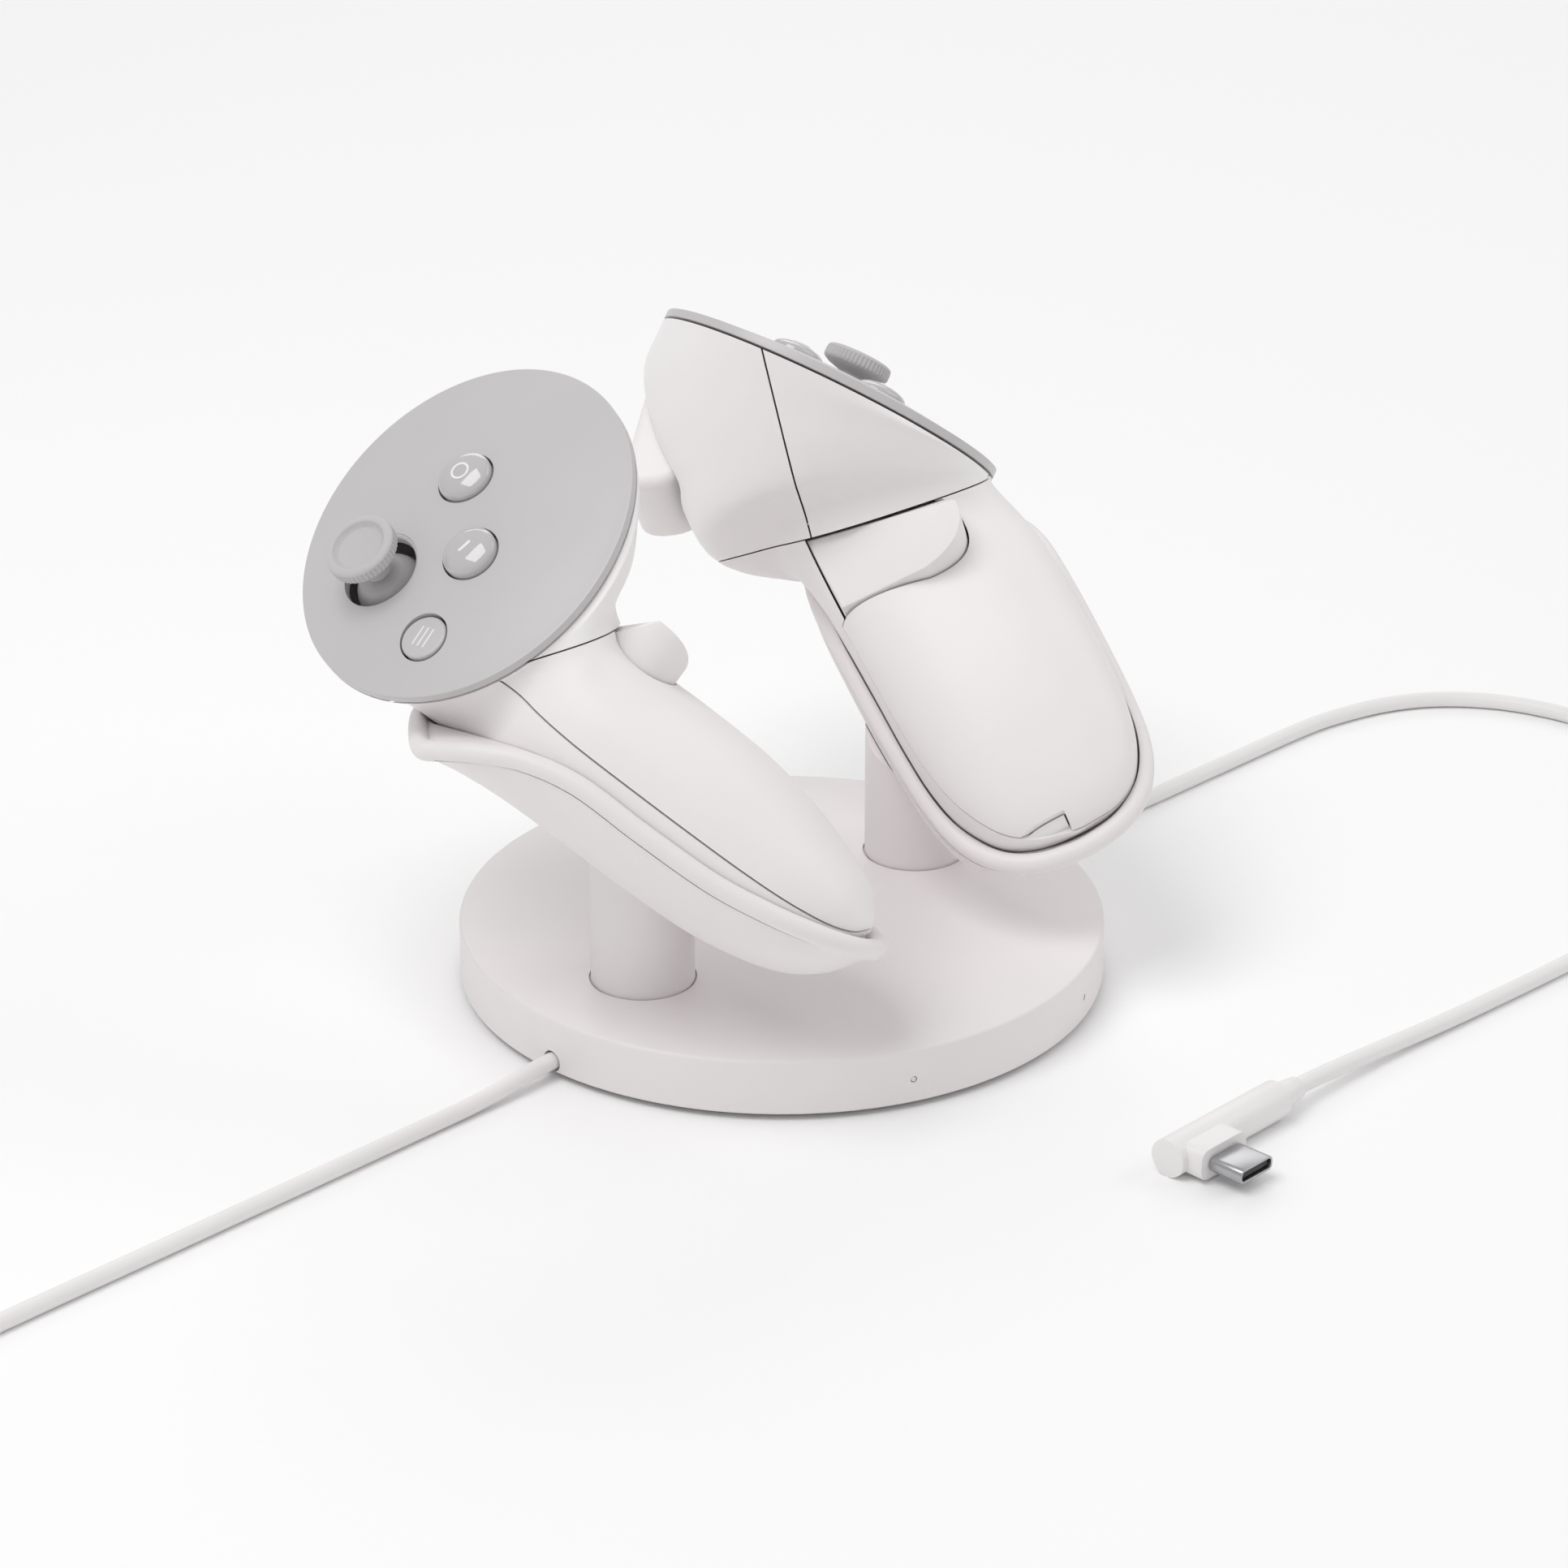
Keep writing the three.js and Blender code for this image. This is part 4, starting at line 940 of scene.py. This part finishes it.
def ring_mark(radius, width, height):
    """A flat ring for a generic mark."""
    profile = [(radius - width / 2, height - 0.4), (radius + width / 2, height - 0.4), (radius + width / 2, height),
               (radius - width / 2, height), (radius - width / 2, height - 0.4)]
    return turned("ring", profile, 48)


def model_keys():
    for name in ("upper", "lower"):
        place, radius = KEYS[name]
        face = dome_height(*place)
        key = on_plate(turned(name, dome_profile(radius, face, DOME_RISE), 64), place)
        both_sides(key, f"{name}_key_dome", f"{name}_key", KEY, [f"{name}_button"], 40)
        top = face + DOME_RISE
        if name == "upper":
            mark = ring_mark(1.5, 0.4, top - 0.02)
        else:
            mark = block((-1.3, -0.3, top - 0.4), (1.3, 0.3, top + 0.08))
            modify(mark, "BEVEL", width=0.1, segments=2)
        both_sides(on_plate(mark, place), f"{name}_key_mark", f"{name}_key", MARK)
    place, radius = KEYS["menu"]
    face = dome_height(*place)
    profile = [(0, -3), (radius, -3)] + rounded([(radius, 0), (radius, face + 0.1), (0, face + 0.15)], 0.5, 5)[1:]
    key = on_plate(turned("menu", profile, 64), place)
    both_sides(key, "menu_key_disc", "menu_key", PLATE, ["menu_button"], 40)
    for k in (-1, 0, 1):
        line = block((-1.9, k * 1.15 - 0.16, face - 0.2), (1.9, k * 1.15 + 0.16, face + 0.2))
        modify(line, "BEVEL", width=0.08, segments=2)
        line.data.transform(Matrix.Rotation(math.radians(20), 4, "Z"))
        both_sides(on_plate(line, place), f"menu_key_line_{k + 2}", "menu_key", MARK)


model_keys()

# %% [markdown]
# ### Thumbstick
# The cap is a dished disc with a raised rim. Its edge is knurled with small scallops so that a thumb does not slip.
# The ball under it is smooth and nearly fills the well.

# %% Thumbstick
STICK_TOP = 12
STICK_CAP = 6.4
BALL_RADIUS = 6.3
PIVOT = -1.8
BALL_FLAT = 3
STEM_FOOT = 4.25


def knurl(angles, height):
    """Scallops on the cap's edge only, between its lower and upper rounding."""
    if STICK_TOP - 2.6 <= height <= STICK_TOP - 0.7:
        return 0.22 * np.abs(np.sin(angles * 24)) - 0.22
    return 0 * angles


def model_stick():
    outer = rounded([
        (2.3, STEM_FOOT), (2.5, STICK_TOP - 4.0), (STICK_CAP - 1.2, STICK_TOP - 3.2), (STICK_CAP, STICK_TOP - 2.5),
        (STICK_CAP, STICK_TOP - 1.0), (STICK_CAP - 0.2, STICK_TOP - 0.3), (STICK_CAP - 0.9, STICK_TOP),
        (STICK_CAP - 1.5, STICK_TOP), (STICK_CAP - 2.1, STICK_TOP - 0.9), (0, STICK_TOP - 1.5)], 0.4, 4)
    cap = turned("cap", [(0, STEM_FOOT)] + outer, 240, knurl)
    both_sides(on_plate(cap, STICK), "stick_cap", "stick_cap", CAP, ["thumbstick_cap"], 40)
    turns = np.radians(np.linspace(-90, 49.6, 30))
    ball = [(BALL_RADIUS * math.cos(a), PIVOT + BALL_RADIUS * math.sin(a)) for a in turns]
    ball[0] = (0, PIVOT - BALL_RADIUS)
    ball = on_plate(turned("ball", ball + [(0, BALL_FLAT)], 96), STICK)
    both_sides(ball, "stick_ball", "stick_ball", PLATE, ["thumbstick_ball"], 40)


model_stick()

# %% [markdown]
# ## Cradles
# Each cradle is a bowl in two layers. The outer shell is a thin skin. The liner lines it, rolls over in a round bead
# along the rim, and leaves a dark shut line under the bead. The handle's own form, grown by its clearance, is cut out.

# %% Cradle forms
# z, half width at the crest, crest, floor, lean
CRADLE = [
    (-4.2, 3.5, 0, -1.6, 0), (-3, 9, -0.2, -4.2, 0), (0, 13.8, -0.8, -8.4, 0), (5, 17.4, -1.8, -12.3, 0),
    (12, 19.7, -3.1, -14.9, 0), (22, 20.9, -4.5, -16.8, 0), (36, 21.5, -4.9, -17.5, 0), (50, 21.6, -5, -17.6, 0.04),
    (61, 21.4, -7.3, -17.6, 0.1), (70, 20.2, -11.4, -17.9, 0.18), (76, 18, -14.8, -18.5, 0.26),
    (79.5, 14, -17, -19.4, 0.3),
]
CRADLE_MID_Y = -4.2
CRADLE_SAG = 0.3
RIM_RADIUS = 1.8
SHUT_LINE = 0.6
CRADLE_WALL = 1.1
HANDLE_CLEARANCE = 0.4
HANDLE_LIFTS = (0, 4, 9, 15)
SHELF_RISE = (RIM_RADIUS - 0.5, 0, 1.0)


def cradle_point(station, x, y, shift=0.0):
    """A point of a cradle section: the bowl sags to its lower side and leans at the neck end."""
    z, _, crest, _, lean = station
    return np.stack([x + 0 * y, CRADLE_MID_Y + y + (crest - x) * CRADLE_SAG, z + shift + lean * y], -1)


def bowl(inset, drop=0.0):
    """The bowl as a closed form, its skin moved in by inset and its crest lowered by drop."""
    angles = np.linspace(0, 2 * math.pi, SIDES + 1)
    rings = []
    for index, station in enumerate(CRADLE):
        _, half, crest, floor, _ = station
        shift = inset if index == 0 else -inset if index == len(CRADLE) - 1 else 0
        y = max(half - inset, 1) * np.cos(angles)
        depth = max(crest - floor - inset, 0.3)
        down = depth * np.maximum(-np.sin(angles), 0) ** 0.7
        rings.append(cradle_point(station, crest - np.maximum(down, drop), y, shift))
    rows = through(np.array(rings), 6)
    ends = [np.tile(row.mean(0), (1, SIDES + 1, 1)) for row in (rows[0], rows[-1])]
    rows = np.concatenate([ends[0], rows, ends[1]])
    rows[:, -1] = rows[:, 0]
    return grid("bowl", rows)


def bead(radius):
    """The rolled rim: a round tube that follows the crest once round."""
    near, far = [], []
    for station in CRADLE:
        inside = np.array(station[1] - RIM_RADIUS + 0.6)
        near.append(cradle_point(station, station[2], inside))
        far.append(cradle_point(station, station[2], -inside))
    line = through(np.array(near + far[::-1]), 10, closed=True)
    along = np.roll(line, -1, 0) - np.roll(line, 1, 0)
    along /= np.linalg.norm(along, axis=1)[:, None]
    out = np.array((1.0, 0, 0)) - along * along[:, :1]
    out /= np.linalg.norm(out, axis=1)[:, None]
    side = np.cross(along, out)
    angles = np.linspace(0, 2 * math.pi, 25)
    rows = line[:, None] + radius * (np.cos(angles)[None, :, None] * out[:, None]
                                     + np.sin(angles)[None, :, None] * side[:, None])
    rows = np.concatenate([rows, rows[:1]])
    rows[:, -1] = rows[:, 0]
    return grid("bead", rows)


def handle_room(lift):
    """The handle grown by its clearance and moved out of the bowl, used as a tool."""
    room = body_skin(-HANDLE_CLEARANCE)
    room.data.transform(Matrix.Translation((0.976 * lift, 0, 0.219 * lift)))
    return room


def neck_shelf():
    """Raises the lining inside its bead at the neck end, where the crest falls away from the handle."""
    shelf = bowl(CRADLE_WALL + GAP)
    shelf.data.transform(Matrix.Translation(SHELF_RISE))
    return cut(shelf, block((-40, -60, 48), (20, 60, 90)), "INTERSECT")


def model_cradles():
    shell = bowl(0, RIM_RADIUS)
    cut(shell, bowl(CRADLE_WALL))
    cut(shell, bead(RIM_RADIUS + SHUT_LINE))
    cut(shell, handle_room(0))
    both_sides(shell, "cradle_skin", "dock", DOCK, ["cradle_shell"], 28)
    liner = bowl(CRADLE_WALL + GAP)
    cut(liner, bead(RIM_RADIUS), "UNION")
    cut(liner, neck_shelf(), "UNION")
    for lift in HANDLE_LIFTS:
        cut(liner, handle_room(lift))
    both_sides(liner, "cradle_lining", "dock", DOCK, ["cradle_liner"], 28)


model_cradles()

# %% [markdown]
# ## Posts
# A post is a plain round column that the bowl's underside cuts off at a slant. It stands in a shallow ring in the base.

# %% Posts


def model_posts():
    post = turned("post", rounded([(0, BASE_TOP - 0.25), (POST_RADIUS, BASE_TOP - 0.25), (POST_RADIUS, 60), (0, 60)],
                                  0.01, 1), 96)
    post.data.transform(Matrix.Translation((-POST_X, 0, 0)))
    post.data.transform((Matrix.Scale(1 / MM, 4) @ LEFT).inverted())
    cut(post, bowl(-GAP))
    cut(post, block((-11, -200, -200), (200, 200, 200)))
    both_sides(post, "column", "dock", DOCK, ["post"], 40)


model_posts()

# %% [markdown]
# ## Finishes for the CAD nodes that stay
# Inner parts keep their CAD form. Each gets the finish of what it is made of.

# %% Inner parts
KEEP = {
    "base_plate": BLACK, "foot_pad": FOOT, "ballast_weight": STEEL, "dock_circuit_board": BOARD,
    "status_light_front": LIGHT, "status_light_side": LIGHT,
    "power_cord_grommet": BLACK, "output_cord_grommet": BLACK,
}
SIDED = {
    "charging_coil": COPPER, "thumbstick_gimbal": BLACK, "trigger_pin": STEEL, "grip_pin": STEEL,
    "battery_cell": SLEEVE, "main_board": BOARD,
}
for name, finish in SIDED.items():
    for side in ("left", "right"):
        KEEP[f"{side}_{name}"] = finish
for name, finish in KEEP.items():
    node = NODES[name]
    node.data.materials.clear()
    node.data.materials.append(finish)
print("kept nodes", len(KEEP))

# %% [markdown]
# ## Floor and light
# The set stands on a plain white desk in an even, bright studio: a white surround gives most of the light, a broad
# soft lamp high on the left shapes the forms, and a weaker one from the right opens the shadows. The view transform is
# Standard, because the default one would turn a white desk grey. A third lamp lights only the far desk, so that it
# stays white to the edge of the frame.

# %% Floor and light


def studio():
    bpy.ops.object.select_all(action="DESELECT")
    bpy.ops.mesh.primitive_plane_add(size=8, location=(0, 0, 0))
    floor = bpy.context.object
    floor.name = "floor"
    paint = bpy.data.materials.new("white_desk")
    paint.use_nodes = True
    shader = paint.node_tree.nodes["Principled BSDF"]
    shader.inputs["Base Color"].default_value = (0.98, 0.98, 0.98, 1)
    shader.inputs["Roughness"].default_value = 0.6
    floor.data.materials.append(paint)
    world = bpy.data.worlds.new("surround")
    bpy.context.scene.world = world
    world.use_nodes = True
    world.node_tree.nodes["Background"].inputs["Color"].default_value = (1, 1, 1, 1)
    world.node_tree.nodes["Background"].inputs["Strength"].default_value = 0.56
    bpy.context.scene.view_settings.view_transform = "Standard"


def lamp(name, place, aim, size, power):
    light = bpy.data.lights.new(name, "AREA")
    light.shape = "SQUARE"
    light.size = size
    light.energy = power
    holder = bpy.data.objects.new(name, light)
    bpy.context.scene.collection.objects.link(holder)
    holder.location = place
    holder.rotation_mode = "QUATERNION"
    holder.rotation_quaternion = (Vector(aim) - Vector(place)).to_track_quat("-Z", "Y")


studio()
lamp("key_lamp", (-0.5, 0.1, 1.1), (0, 0, 0.05), 0.7, 5.5)
lamp("fill_lamp", (0.9, -0.6, 0.8), (0, 0, 0.05), 0.8, 2.2)
lamp("backdrop_lamp", (1.7, 1.6, 1.2), (1.7, 1.6, 0), 1.8, 14)
